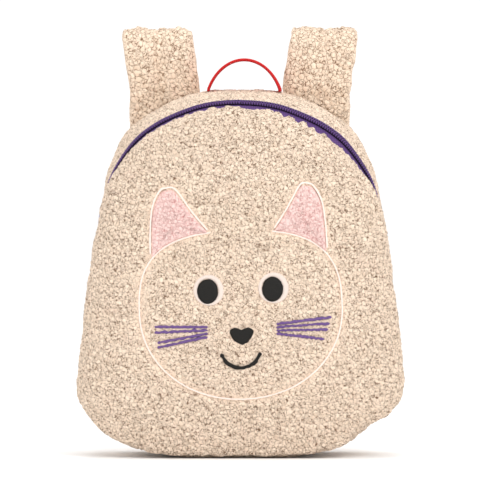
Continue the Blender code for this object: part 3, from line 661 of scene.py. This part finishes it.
class Number:
    """A value that runs through a material's nodes: one output of a node."""

    def __init__(self, finish, made, which=0):
        self.finish = finish
        self.made = made
        self.socket = made.outputs[which]

    def out(self, which):
        return Number(self.finish, self.made, which)

    def math(self, operation, *values):
        return self.finish.node("ShaderNodeMath", {"operation": operation}, dict(enumerate(values)))

    def __add__(self, other):
        return self.math("ADD", self, other)

    __radd__ = __add__

    def __sub__(self, other):
        return self.math("SUBTRACT", self, other)

    def __rsub__(self, other):
        return self.math("SUBTRACT", other, self)

    def __mul__(self, other):
        return self.math("MULTIPLY", self, other)

    def clamp(self):
        return self.finish.node("ShaderNodeClamp", {}, {0: self})


class Finish:
    """A material with its surface shader."""

    def __init__(self, name, **constants):
        self.material = bpy.data.materials.new(name)
        self.material.use_nodes = True
        self.tree = self.material.node_tree
        self.shader = self.tree.nodes["Principled BSDF"]
        for word, value in constants.items():
            self.shader.inputs[word.replace("_", " ").title().replace("Ior", "IOR")].default_value = value

    def connect(self, socket, value):
        if isinstance(value, Number):
            self.tree.links.new(value.socket, socket)
        else:
            socket.default_value = value

    def node(self, kind, settings, values):
        made = self.tree.nodes.new(kind)
        for word, value in settings.items():
            setattr(made, word, value)
        for word, value in values.items():
            self.connect(made.inputs[word], value)
        return Number(self, made)

    def mark(self, word):
        return self.node("ShaderNodeAttribute", {"attribute_name": word}, {}).out("Fac")

    def place(self):
        return self.node("ShaderNodeTexCoord", {}, {}).out("Object")

    def mix(self, share, first, second, blend="MIX"):
        settings = {"data_type": "RGBA", "blend_type": blend}
        return self.node("ShaderNodeMix", settings, {0: share, 6: first, 7: second}).out(2)

    def noise(self, scale, detail=2.0, roughness=0.5, at=None):
        values = {"Vector": at or self.place(), "Scale": scale, "Detail": detail, "Roughness": roughness}
        return self.node("ShaderNodeTexNoise", {}, values).out("Fac")

    def smooth(self, value, low, high):
        settings = {"interpolation_type": "SMOOTHSTEP"}
        return self.node("ShaderNodeMapRange", settings, {"Value": value, "From Min": low, "From Max": high})

    def bump(self, height, distance, strength):
        values = {"Height": height, "Distance": distance, "Strength": strength}
        self.connect(self.shader.inputs["Normal"], self.node("ShaderNodeBump", {}, values))

    def colour(self, value):
        self.connect(self.shader.inputs["Base Color"], value)

    def rough(self, value):
        self.connect(self.shader.inputs["Roughness"], value)


def paint(red, green, blue):
    """A colour as the eye names it, 0 to 255, as light."""
    linear = []
    for part in (red, green, blue):
        part = part / 255
        linear.append(part / 12.92 if part <= 0.04045 else ((part + 0.055) / 1.055) ** 2.4)
    return (*linear, 1.0)


def curly_finish(name, fineness, *colours):
    """Curly pile: soft nubs of about 1 / fineness metres, with painted shadow in the gap under most of them
    and painted shade in their crevices.
    """
    # deep: the painted shade colour of gaps and crevices; tip: the lighter pile colour, also used for painted
    # light
    deep, middle, tip, flat, warm = (paint(*colour) for colour in colours)
    finish = Finish(name, roughness=0.95, sheen_weight=0.05, sheen_roughness=0.6, specular_ior_level=0.08)
    curl, tone, press = (finish.mark(word) for word in ("curl", "tone", "press"))
    place = finish.place()
    bent = finish.mix(0.0017, place, finish.noise(560.0, 1.0, at=place).out("Color"), "LINEAR_LIGHT")
    edge, cell = (
        finish.node("ShaderNodeTexVoronoi", {"feature": feature}, {"Vector": bent, "Scale": fineness})
        for feature in ("DISTANCE_TO_EDGE", "F1")
    )
    own = finish.node("ShaderNodeSeparateColor", {}, {0: cell.out("Color")})
    fibre = finish.noise(1700, 2.0, 0.6)
    # under: 1 on a nub's lower side, away from the key light, where shadow is painted
    away = finish.node("ShaderNodeVectorMath", {"operation": "SUBTRACT"}, {0: bent, 1: cell.out("Position")})
    low = finish.node("ShaderNodeVectorMath", {"operation": "DOT_PRODUCT"}, {0: away, 1: PAINTED_SHADOW_WAY})
    under = finish.smooth(low.out("Value") * fineness, -0.22, 0.26)
    open_gap = finish.smooth(finish.noise(420, 1.0, 0.6), 0.36, 0.58)
    # Dark lines in the gaps between nubs: painted shadow, strongest under the nubs
    gap = finish.smooth(edge.out("Distance"), 0.0, 0.075 + open_gap * 0.065)
    dark = (1.0 - gap) * (0.30 + under * 0.70) * (0.55 + open_gap * 0.45)
    # Painted shade in the crevices, where the curl height is low
    painted_pit_shade = finish.smooth(curl, 0.34, 0.04)
    # Painted shadow of the gaps and painted crevice shade, with fibre grain
    painted_shade_and_grain = (dark * 1.2 + painted_pit_shade * 0.10 + (0.5 - fibre) * 0.30).clamp()
    # Random tone of each nub and fibre grain, with painted light on high nub tops and on their upper sides
    light = (own - 0.5) * 0.4 + (curl - 0.45) * 0.2 + (tone - 0.5) * 0.20
    light = (light + (fibre - 0.5) * 0.6 + 0.55 + (0.5 - under) * 0.40).clamp()
    pile = finish.mix(light, middle, tip)
    pile = finish.mix(((tone - 0.5) * 0.8).clamp(), pile, warm)
    # Lay the painted shade colour (deep) where the painted shade is
    pile = finish.mix(painted_shade_and_grain, pile, deep)
    finish.colour(finish.mix(press * 0.26, pile, flat))
    dome = gap * (1.0 - cell.out("Distance") * 0.5) + (fibre - 0.5) * 0.3
    finish.bump(dome * (1.0 - press * 0.7), 0.0009, 0.7)
    return finish.material


def thread_finish(name, light, dark, pitch=1100):
    """Satin stitches: fine threads with a soft shine."""
    finish = Finish(name, roughness=0.55, sheen_weight=0.02, specular_ior_level=0.2)
    threads = finish.noise(pitch, 2.0, 0.6)
    finish.colour(finish.mix(threads, paint(*dark), paint(*light)))
    finish.rough(0.45 + threads * 0.3)
    finish.bump(threads, 0.0004, 0.8)
    return finish.material


def woven_finish(name, light, dark, pitch):
    """Woven tape: two sets of bands that cross."""
    finish = Finish(name, roughness=0.75, sheen_weight=0.02, specular_ior_level=0.15)
    values = {"Vector": finish.place(), "Scale": pitch, "Distortion": 0.6}
    one, two = (
        finish.node("ShaderNodeTexWave", {"bands_direction": way}, values).out("Fac") for way in ("X", "Z")
    )
    grain = finish.noise(900, 2.0, 0.6)
    weave = one * two * 0.8 + grain * 0.4
    finish.colour(finish.mix(weave.clamp(), paint(*dark), paint(*light)))
    finish.rough(0.65 + grain * 0.2)
    finish.bump(weave, 0.0004, 0.7)
    return finish.material


def moulded_finish(name, light, dark, roughness=0.4, metallic=0.0):
    finish = Finish(name, roughness=roughness, metallic=metallic)
    cloud = finish.noise(160, 3.0, 0.6)
    finish.colour(finish.mix(cloud, paint(*dark), paint(*light)))
    finish.rough(roughness - 0.08 + cloud * 0.16)
    finish.bump(finish.noise(2200), 0.0001, 0.4)
    return finish.material


def coil_finish(name, light, dark):
    """Moulded teeth: painted shade between them and at their low edges, by the mark that the coil's mesh
    carries.
    """
    finish = Finish(name, roughness=0.5, specular_ior_level=0.18)
    cloud = finish.noise(700)
    # Low places between and beside the teeth take the dark colour: painted shade
    share = (finish.smooth(finish.mark("curl"), 0.15, 0.7) + (cloud - 0.5) * 0.3).clamp()
    finish.colour(finish.mix(share, paint(*dark), paint(*light)))
    finish.bump(cloud, 0.0002, 0.4)
    return finish.material


# In each fleece the first colour is painted shade for gaps and crevices; the third, the lighter tip, also
# takes painted light
beige_fleece = curly_finish(
    "beige fleece", 410, (104, 73, 48), (217, 193, 170), (246, 226, 205), (226, 202, 182), (226, 194, 175)
)
strap_fleece = curly_finish(
    "beige strap fleece", 330, (126, 93, 66), (220, 194, 170), (244, 223, 200), (229, 204, 183),
    (230, 197, 178),
)
pink_fleece = curly_finish(
    "pink fleece", 420, (208, 150, 145), (236, 197, 191), (246, 219, 212), (241, 209, 202), (236, 187, 181)
)
cream_thread = thread_finish("cream thread", (250, 238, 230), (236, 214, 202))
# The eye rings' cream thread, darker than the cream thread: painted shade
shaded_ring_thread = thread_finish("cream thread with painted shade", (232, 217, 207), (208, 192, 181))
black_thread = thread_finish("black thread", (33, 31, 28), (15, 14, 13))
purple_thread = thread_finish("purple thread", (122, 95, 150), (84, 61, 110), 800)
tape_weave = woven_finish("purple tape", (112, 82, 140), (76, 52, 102), 260)
red_weave = woven_finish("red webbing", (216, 46, 46), (176, 24, 26), 220)
beige_weave = woven_finish("beige webbing", (226, 204, 184), (196, 172, 150), 220)
adjuster_plastic = moulded_finish("beige plastic", (214, 192, 170), (202, 178, 156))
slider_metal = moulded_finish("purple slider", (96, 74, 140), (78, 58, 120), 0.35, 0.6)
# (16, 7, 24) is painted shade between and beside the teeth
purple_coil = coil_finish("purple coil", (92, 62, 122), (16, 7, 24))

# Cat face: its lines on the front

tilt = math.radians(face_tilt)


def on_face(places):
    """Places across and up from the middle of the face, as places across and up on the front."""
    x, z = np.asarray(places, float).T
    across = x * math.cos(tilt) - z * math.sin(tilt)
    return np.column_stack([across, face_height + x * math.sin(tilt) + z * math.cos(tilt)])


def head_place(angle):
    up = -math.cos(angle)
    across = math.sin(angle)
    reach, power = (face_top, 2 / face_crown) if up > 0 else (face_bottom, 2 / face_chin)
    x = half_face * math.copysign(abs(across) ** power, across)
    z = reach * math.copysign(abs(up) ** power, up)
    return x, z


def ear_foot(side):
    return half_face * (ear_foot_left if side < 0 else ear_foot_right)


def ear_line(side):
    pull = ear_foot(side) - EAR_ROWS[-1][0] * half_face
    last = len(EAR_ROWS) - 1
    rows = []
    for k, (across, up) in enumerate(EAR_ROWS):
        rows.append((side * (across * half_face + pull * max(0.0, (k - 4) / (last - 4))), up * ear_top))
    foot = ear_foot(side) / half_face
    rows[-1] = (rows[-1][0], face_top * (1 - foot**face_crown) ** (1 / face_crown) - line_width / 2)
    return through(rows, 12)


def oval(x, z, across, up, count):
    turn = np.linspace(0, 2 * math.pi, count, endpoint=False)
    return on_face([(x + across * math.cos(t), z + up * math.sin(t)) for t in turn])


def mouth_curve():
    corner = math.radians(mouth_turn)
    made = []
    for step in range(61):
        angle = corner * (-1 + 2 * step / 60)
        droop = (math.cos(angle) - math.cos(corner)) / (1 - math.cos(corner))
        across = mouth_width / 2 * math.sin(angle) / math.sin(corner)
        made.append((mouth_shift + across, -mouth_drop - mouth_depth * droop))
    return on_face(made)


head = [head_place(math.radians(degree / 4)) for degree in range(-720, 721)]
head = [place for place in head if place[1] < 0 or abs(place[0]) >= ear_foot(place[0])]
head_path = on_face(head)
ear_paths = {side: on_face(ear_line(side)) for side in (-1, 1)}
eye_paths = {side: oval(side * eye_apart / 2, eye_up, eye_width / 2, eye_height / 2, 72) for side in (-1, 1)}
nose_rows = through(NOSE_ROWS, 5)
nose_half = [(across * nose_width / 2, up * nose_height / 2 - nose_drop) for across, up in nose_rows]
nose_path = on_face(nose_half + [(-x, z) for x, z in nose_half[-2:0:-1]])
mouth_path = mouth_curve()
whisker_paths = {
    f"whisker_{name}": np.reshape(ends, (2, 2)) * half_face + (0.0, face_height) for name, *ends in WHISKERS
}


def ear_loop(side):
    """The whole outline of an ear, its foot on the head's line."""
    inner_x, outer_x = ear_foot(side), EAR_ROWS[0][0] * half_face
    foot = [place for place in head if place[1] > 0 and inner_x < place[0] * side < outer_x]
    foot.sort(key=lambda place: place[0] * side)
    return np.vstack([ear_paths[side], on_face(foot[1:-1])])


ear_loops = {side: ear_loop(side) for side in (-1, 1)}


def pressed_places():
    """Places on the face where stitches hold the pile down, each with how far it is pressed around."""
    lines = [(head_path, 0.0026), (ear_paths[-1], 0.0022), (ear_paths[1], 0.0022), (mouth_path, 0.0018)]
    lines += [(path, 0.0014) for path in whisker_paths.values()]
    fields = [(eye_paths[-1], 0.0034), (eye_paths[1], 0.0034), (nose_path, 0.0014)]
    fields = [(path, reach, (0.25, 0.5, 0.75, 1.0), 60) for path, reach in fields]
    fields += [(ear_loops[side], 0.0022, np.linspace(0.06, 0.94, 9), 90) for side in (-1, 1)]
    made = []
    for path, reach in lines:
        for x, z in evenly(path, int(line_length(path) / 0.0008)):
            made.append((x, z, reach))
    for path, reach, shares, count in fields:
        centre = path.mean(axis=0)
        for share in shares:
            for x, z in evenly(centre + (path - centre) * share, count):
                made.append((x, z, reach))
    return made


pressed = pressed_places()
pressed_tree = KDTree(len(pressed))
for number, (x, z, _) in enumerate(pressed):
    pressed_tree.insert((x, 0.0, z), number)
pressed_tree.balance()


def front_press(points):
    """How flat the nap lies on the front: 1 under the stitches, less round them and at the edges."""
    made = np.zeros(len(points))
    across, up = np.abs(points[:, 0]), points[:, 2]
    for k in np.nonzero((across < press_across) & (up > press_low) & (up < press_high))[0]:
        _, number, away = pressed_tree.find((points[k][0], 0.0, points[k][2]))
        reach = pressed[number][2]
        if away < reach * 1.9:
            made[k] = 1 - max(0.0, away - reach * 0.45) / (reach * 1.45)
    return np.maximum(made, soft_step(points[:, 1], -0.024, -0.004) * 0.5)


def side_press(points):
    return 0.25 + 0.25 * np.clip(wander(points, 0.03, 60)[:, 0], -1, 1)


def top_press(points):
    return np.full(len(points), 0.35)


# The bag's cloth

top_span = (zip_end_turn, 360 - zip_end_turn)
panel(
    "front_fleece", (("front", 0.0, 1.0), ("lip", 0.0, 1.0)), 0.00086 * COARSE, "front_panel", front_press
)
panel("back_fleece", (("back", 0.0, 1.0),), 0.0012 * COARSE, "back_panel", side_press)
strip(
    "base_gusset_fleece", (("band", 0.0, 1.0), ("gusset", 0.0, 1.0)), 0.0011 * COARSE,
    -zip_end_turn, zip_end_turn, "base_gusset", side_press, (("lip", 0.35, 0.0022), ("back", 0.07, 0.0022)),
)
strip(
    "top_gusset_fleece", (("gusset", 0.0, 1.0),), 0.00095 * COARSE, *top_span, "top_gusset", top_press,
    (("band", 0.93, 0.0016), ("back", 0.07, 0.0022)),
)
strip(
    "purple_zip_tape", (("band", 0.0, 1.0),), 0.0011, *top_span, "zip_tape", top_press,
    (("lip", 0.75, 0.0014), ("gusset", 0.05, 0.0014)), tape=True,
)


def zip_teeth():
    """The zip's coil: two rows of bent teeth that meet in the middle."""
    span = (top_span[0] + 4.5, top_span[1] - 6.5)
    length = line_length(skin("band", 0.5, round_turns(300, *span)))
    turn = round_turns(int(length / tooth_pitch) * tooth_steps, *span)
    low = skin("band", 0.50, turn)
    high = skin("band", 0.96, turn)
    way = unit(high - low)
    out = skin_facing("band", 0.5, turn)
    out = unit(out - way * np.sum(out * way, axis=-1, keepdims=True))
    middle = (low + high) / 2 + out * 0.0004
    half_rise = [(0.0, 0.62), (0.12, 0.86), (0.36, 1.0), (0.62, 0.93), (0.84, 0.74), (0.96, 0.42), (1.0, 0.0)]
    across, rise = np.array([(-x, up) for x, up in half_rise[:0:-1]] + half_rise).T
    phase = np.arange(len(turn))[:, None] / tooth_steps * 2 * math.pi + np.where(across < 0, 0, math.pi)
    rib = 0.5 + 0.5 * np.sin(phase + np.abs(across) * 1.1)
    lift = rise * (0.66 + 0.34 * rib) * coil_height
    half = coil_width / 2 * (1 + 0.05 * (rib - 0.5) * (np.abs(across) > 0.9))
    loops = middle[:, None] + way[:, None] * (half * across)[..., None] + out[:, None] * lift[..., None]
    # curl: the height of the teeth, which the coil's finish turns into painted shade where low
    marks = {"curl": (rib * np.clip(rise * 1.2, 0, 1)).ravel()}
    dress(tube("purple_zip_coil", loops, purple_coil, marks), "zip_coil")


zip_teeth()

# Straps


def grid_facing(loops):
    """Outward directions of a tube's points."""
    around = np.roll(loops, -1, axis=1) - np.roll(loops, 1, axis=1)
    facing = unit(np.cross(around, np.gradient(loops, axis=0)))
    outward = np.sum(facing * (loops - loops.mean(axis=1, keepdims=True)))
    return -facing if outward < 0 else facing


def padded_strap(word, side):
    low_box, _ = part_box(f"strap_{word}")
    top = strap_top - strap_thickness / 2
    centre = half_width * strap_place
    fullness = strap_fullness_left if side < 0 else 1.0
    seat = low_box[1] + strap_thickness / 2 + 0.02 * strap_reach
    rows = []
    for falls, climb, back, spread, width, thick in STRAP_ROWS:
        low = strap_end if falls else strap_foot
        across = side * (centre + spread * strap_spread)
        wide = width * fullness * strap_width
        rows.append((across, seat + back * strap_reach, low + climb * (top - low), wide, thick))
    line = through(rows, 14)
    spacing = 0.0010 * COARSE
    line = evenly(line, int(line_length(line[:, :3]) / spacing))
    way = unit(np.gradient(line[:, :3], axis=0))
    sideways = unit(np.array([1.0, 0.0, 0.0]) - way * way[:, :1])
    out = np.cross(sideways, way)
    upper = through([*STRAP_SECTION, (1.0, 0.0)], 16)
    loop = np.vstack([upper[:-1], (upper * (1, -1))[::-1][:-1]])
    loop = loop * (strap_width / 2, strap_thickness / 2)
    loop = evenly(np.vstack([loop, loop[:1]]), int(strap_girth / spacing))[:-1]
    along = np.arange(len(line)) * spacing
    ends = np.minimum(along, along[-1] - along)
    cap = np.sqrt(np.clip(1 - (1 - np.clip(ends / (strap_thickness * 0.45), 0, 1)) ** 2, 0.02, 1))
    pinch = 1 + 0.035 * np.sin(along / 0.021 + side) * np.clip(ends / 0.02, 0, 1)
    half = line[:, 3:4] / strap_width * loop[:, 0] * (0.9 + 0.1 * cap[:, None])
    thick = loop[:, 1] * (line[:, 4] * cap * pinch)[:, None]
    loops = line[:, None, :3] + sideways[:, None] * half[..., None] + out[:, None] * thick[..., None]
    edge = soft_step(np.abs(loop[:, 0]) / (strap_width / 2), 0.86, 0.99)
    press = np.tile(edge * 0.75, len(line))
    facing = grid_facing(loops).reshape(-1, 3)
    moved, height, tone = curly(loops.reshape(-1, 3), facing, press, seed=7 + side)
    marks = {"curl": height, "tone": tone, "press": press}
    piece = tube(f"fleece_strap_{word}", moved.reshape(loops.shape), strap_fleece, marks)
    dress(piece, f"strap_{word}")


padded_strap("left", -1)
padded_strap("right", 1)


def carry_loop():
    """The loop of webbing on the top, a little twisted at its right end."""
    low_box, high_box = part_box("carry_handle")
    count = 121
    start = math.radians(loop_start)
    angle = np.linspace(start, math.pi - start, count)
    x = loop_shift - loop_span / 2 * np.cos(angle) / math.cos(start)
    z = body_height + loop_rise * (np.sin(angle) - math.sin(start)) / (1 - math.sin(start))
    z[0] = z[-1] = low_box[2]
    line = np.column_stack([x, np.full(count, (low_box[1] + high_box[1]) / 2), z])
    way = unit(np.gradient(line, axis=0))
    twist = loop_twist * np.clip(angle / math.pi - 0.6, 0, 1)
    aside = np.column_stack([twist, np.ones(count), np.zeros(count)])
    aside = unit(aside - way * np.sum(aside * way, axis=-1, keepdims=True))
    out = np.cross(aside, way)
    across = np.linspace(-1, 1, 13)
    upper = np.column_stack([across, 1 - 0.6 * np.abs(across) ** 6])
    loop = np.vstack([upper, (upper * (1, -1))[::-1]]) * (loop_width / 2, loop_thickness / 2)
    loops = line[:, None] + aside[:, None] * loop[:, :1] + out[:, None] * loop[:, 1:]
    dress(tube("red_carry_loop", loops, red_weave), "carry_handle")


carry_loop()

# Stitches and ears, laid on the front


def smooth_front():
    """The front without its pile, to find how deep a place on it lies."""
    rows = stations((("front", 0.004, 1.0),), 0.004, round_turns(24))
    count = 180
    grid = np.array([skin(zone, share, round_turns(count)) for zone, share in rows])
    _, quads = loop_faces(len(rows), count)
    faces = [*quads.tolist(), tuple(range(count))]
    return BVHTree.FromPolygons([Vector(point) for point in grid.reshape(-1, 3)], faces)


front_tree = smooth_front()


def on_front(places, sunk):
    """Points at these places across and up, sunk this far into the front."""
    made = []
    for (x, z), deep in zip(places, np.broadcast_to(sunk, len(places))):
        found = front_tree.ray_cast(Vector((x, -1.0, z)), Vector((0, 1, 0)))
        made.append((x, found[0].y + deep, z))
    return np.array(made)


def stitched_line(name, path, width, rise, look, closed=False, ragged=0.0, seed=1):
    """A raised line of satin stitches along a path on the front.

    width: None where the path's third column gives it.
    """
    finish, slot = look
    if closed:
        path = np.vstack([path, path[:1]])
    path = evenly(path, max(8, int(line_length(path) / stitch_step)) + 1)
    if closed:
        path = path[:-1]
    if width is None:
        width = path[:, 2]
        path = path[:, :2]
    way = np.gradient(path, axis=0)
    close = np.ones(len(path))
    if closed:
        way = np.roll(path, -1, axis=0) - np.roll(path, 1, axis=0)
    else:
        away = np.minimum(np.arange(len(path)), np.arange(len(path))[::-1]) * stitch_step
        close = np.sqrt(np.clip(1 - (1 - np.clip(away / (width * 0.6), 0, 1)) ** 2, 0.03, 1))
    way = unit(way)
    aside = np.column_stack([way[:, 1], -way[:, 0]])
    spots = np.column_stack([path[:, 0], np.zeros(len(path)), path[:, 1]])
    left, right = (
        width / 2 * (1 + ragged * wander(spots, 0.0022, seed + k)[:, 0]) * close for k in (0, 1)
    )
    shape = [(-1.0, 0.0), (-0.93, 0.45), (-0.7, 0.78), (-0.36, 0.96), (0.0, 1.0)]
    shape = shape + [(-across, up) for across, up in shape[-2::-1]]
    loops = []
    for across, up in shape:
        spot = path + aside * ((left if across < 0 else right) * across)[:, None]
        high = (rise + stitch_sunk) * up * (0.35 + 0.65 * close)
        loops.append(on_front(spot, stitch_sunk - high))
    piece = tube(f"stitched_{name}", np.stack(loops, axis=1), finish, closed=closed)
    dress(piece, name)


def stitched_field(name, path, rise, look, rings=12, count=96, curl=0.0, ragged=0.0):
    """A raised field inside an outline on the front: satin stitches, or pile where it curls."""
    finish, slot = look
    path = evenly(np.vstack([path, path[:1]]), count + 1)[:-1]
    centre = path.mean(axis=0)
    spots = np.column_stack([path[:, 0], np.zeros(count), path[:, 1]])
    path = path + unit(path - centre) * (ragged * wander(spots, 0.0020, 71)[:, :1])
    shares = np.linspace(0, 1, rings + 1)[1:]
    rows = []
    for share in shares:
        up = (rise + stitch_sunk) * (1 - share**10) if share < 1 else 0.0
        rows.append(on_front(centre + (path - centre) * share, stitch_sunk - up))
    points = np.vstack([*rows, on_front([centre, centre], (-rise, stitch_sunk))])
    marks = {}
    if curl:
        facing = np.tile([0.0, -1.0, 0.0], (len(points), 1))
        inside = np.concatenate([np.repeat(1 - shares**8, count), [1.0, 0.0]])
        press = np.full(len(points), 0.25)
        moved, height, tone = curly(points, facing, press, size=curl, depth=0.0016, seed=11)
        points = points + (moved - points) * inside[:, None]
        edge = np.concatenate([np.repeat(soft_step(shares, 0.86, 1.0), count), [0.0, 1.0]])
        marks = {"curl": height, "tone": tone, "press": edge}
    piece = body_of_cloth(f"stitched_{name}", points, *loop_faces(rings, count), finish, marks)
    dress(piece, name)


cream = (cream_thread, "cream_stitching")
# Cream thread darkened with painted shade, for the eye rings
shaded_cream = (shaded_ring_thread, "cream_stitching")
black = (black_thread, "black_stitching")
purple = (purple_thread, "purple_stitching")
pink = (pink_fleece, "pink_fleece")

stitched_line("head_outline", head_path, 0.0012, 0.0003, cream, seed=21, ragged=0.12)
for word, side in (("left", -1), ("right", 1)):
    kept = [
        place for place in ear_paths[side]
        if np.linalg.norm(head_path - place, axis=1).min() > line_width + thread_gap
    ]
    stitched_line(f"ear_trim_{word}", np.array(kept), 0.0013, 0.0004, cream, seed=23, ragged=0.12)
    centre = ear_loops[side].mean(axis=0)
    inset = centre + (ear_loops[side] - centre) * 0.955
    stitched_field(f"ear_{word}", inset, 0.0013, pink, rings=34, count=150, curl=0.0022)
    stitched_field(f"eye_{word}", eye_paths[side], 0.0007, black, rings=10, ragged=0.00012)
    middle = side * eye_apart / 2
    inside = oval(middle, eye_up, eye_width / 2 - thread_gap, eye_height / 2 - thread_gap, 90)
    outside = oval(middle + ring_across, eye_up + ring_up, ring_reach, ring_reach, 90)
    ring = np.column_stack([(inside + outside) / 2, np.linalg.norm(outside - inside, axis=1)])
    stitched_line(f"eye_ring_{word}", ring, None, 0.0002, shaded_cream, closed=True, seed=25, ragged=0.06)
stitched_field("nose", nose_path, 0.0007, black, rings=8, count=80, ragged=0.00022)
stitched_line("mouth", mouth_path, mouth_line, 0.0006, black, ragged=0.16, seed=27)
for number, (name, path) in enumerate(whisker_paths.items()):
    stitched_line(name, path, whisker_line * 1.15, 0.0004, purple, ragged=0.28, seed=31 + number)

# Pieces that keep their solids

for finish, *nodes in (
    (beige_weave, "webbing_left", "webbing_right"),
    (adjuster_plastic, "adjuster_left", "adjuster_right"),
    (slider_metal, "zip_slider"),
):
    for node in nodes:
        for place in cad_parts[node].material_slots:
            place.material = finish

# Floor, light and camera


def floor():
    mesh = bpy.data.meshes.new("floor")
    corners = [(-1, -1), (1, -1), (1, 1), (-1, 1)]
    mesh.from_pydata([(x * floor_reach, y * floor_reach, 0) for x, y in corners], [], [(0, 1, 2, 3)])
    finish = Finish("white floor", roughness=0.9, specular_ior_level=0.1)
    finish.colour(finish.mix(finish.noise(3.0), (0.94, 0.94, 0.94, 1), (0.96, 0.96, 0.96, 1)))
    mesh.materials.append(finish.material)
    placed("floor", mesh)


def aimed(name, data, place, target):
    """A light or camera at a place, turned to a target."""
    item = placed(name, data)
    item.location = place
    item.rotation_euler = (target - Vector(place)).to_track_quat("-Z", "Y").to_euler()
    return item


def area_light(name, place, size, power):
    light = bpy.data.lights.new(name, "AREA")
    light.shape = "SQUARE"
    light.size = size
    light.energy = power
    aimed(name, light, place, light_target)


floor()
area_light("key", (0.9, -1.5, 1.5), 0.9, 14)
area_light("fill", (-1.3, -1.4, 0.7), 1.2, 3)
area_light("top", (0.0, 0.3, 1.9), 1.2, 8)

world = bpy.data.worlds.new("white room")
world.use_nodes = True
background = world.node_tree.nodes["Background"].inputs
background["Color"].default_value = (1.0, 1.0, 1.0, 1.0)
background["Strength"].default_value = 1.08
bpy.context.scene.world = world
bpy.context.scene.view_settings.view_transform = "Standard"

lens = bpy.data.cameras.new("camera")
lens.sensor_width = 36.0
lens.lens = lens.sensor_width * camera_distance / (photo_pixels * pixel)
lens.clip_end = 200.0
lift = math.radians(camera_lift)
spot = look_at + Vector((0.0, -math.cos(lift), math.sin(lift))) * camera_distance
bpy.context.scene.camera = aimed("camera", lens, spot, look_at)
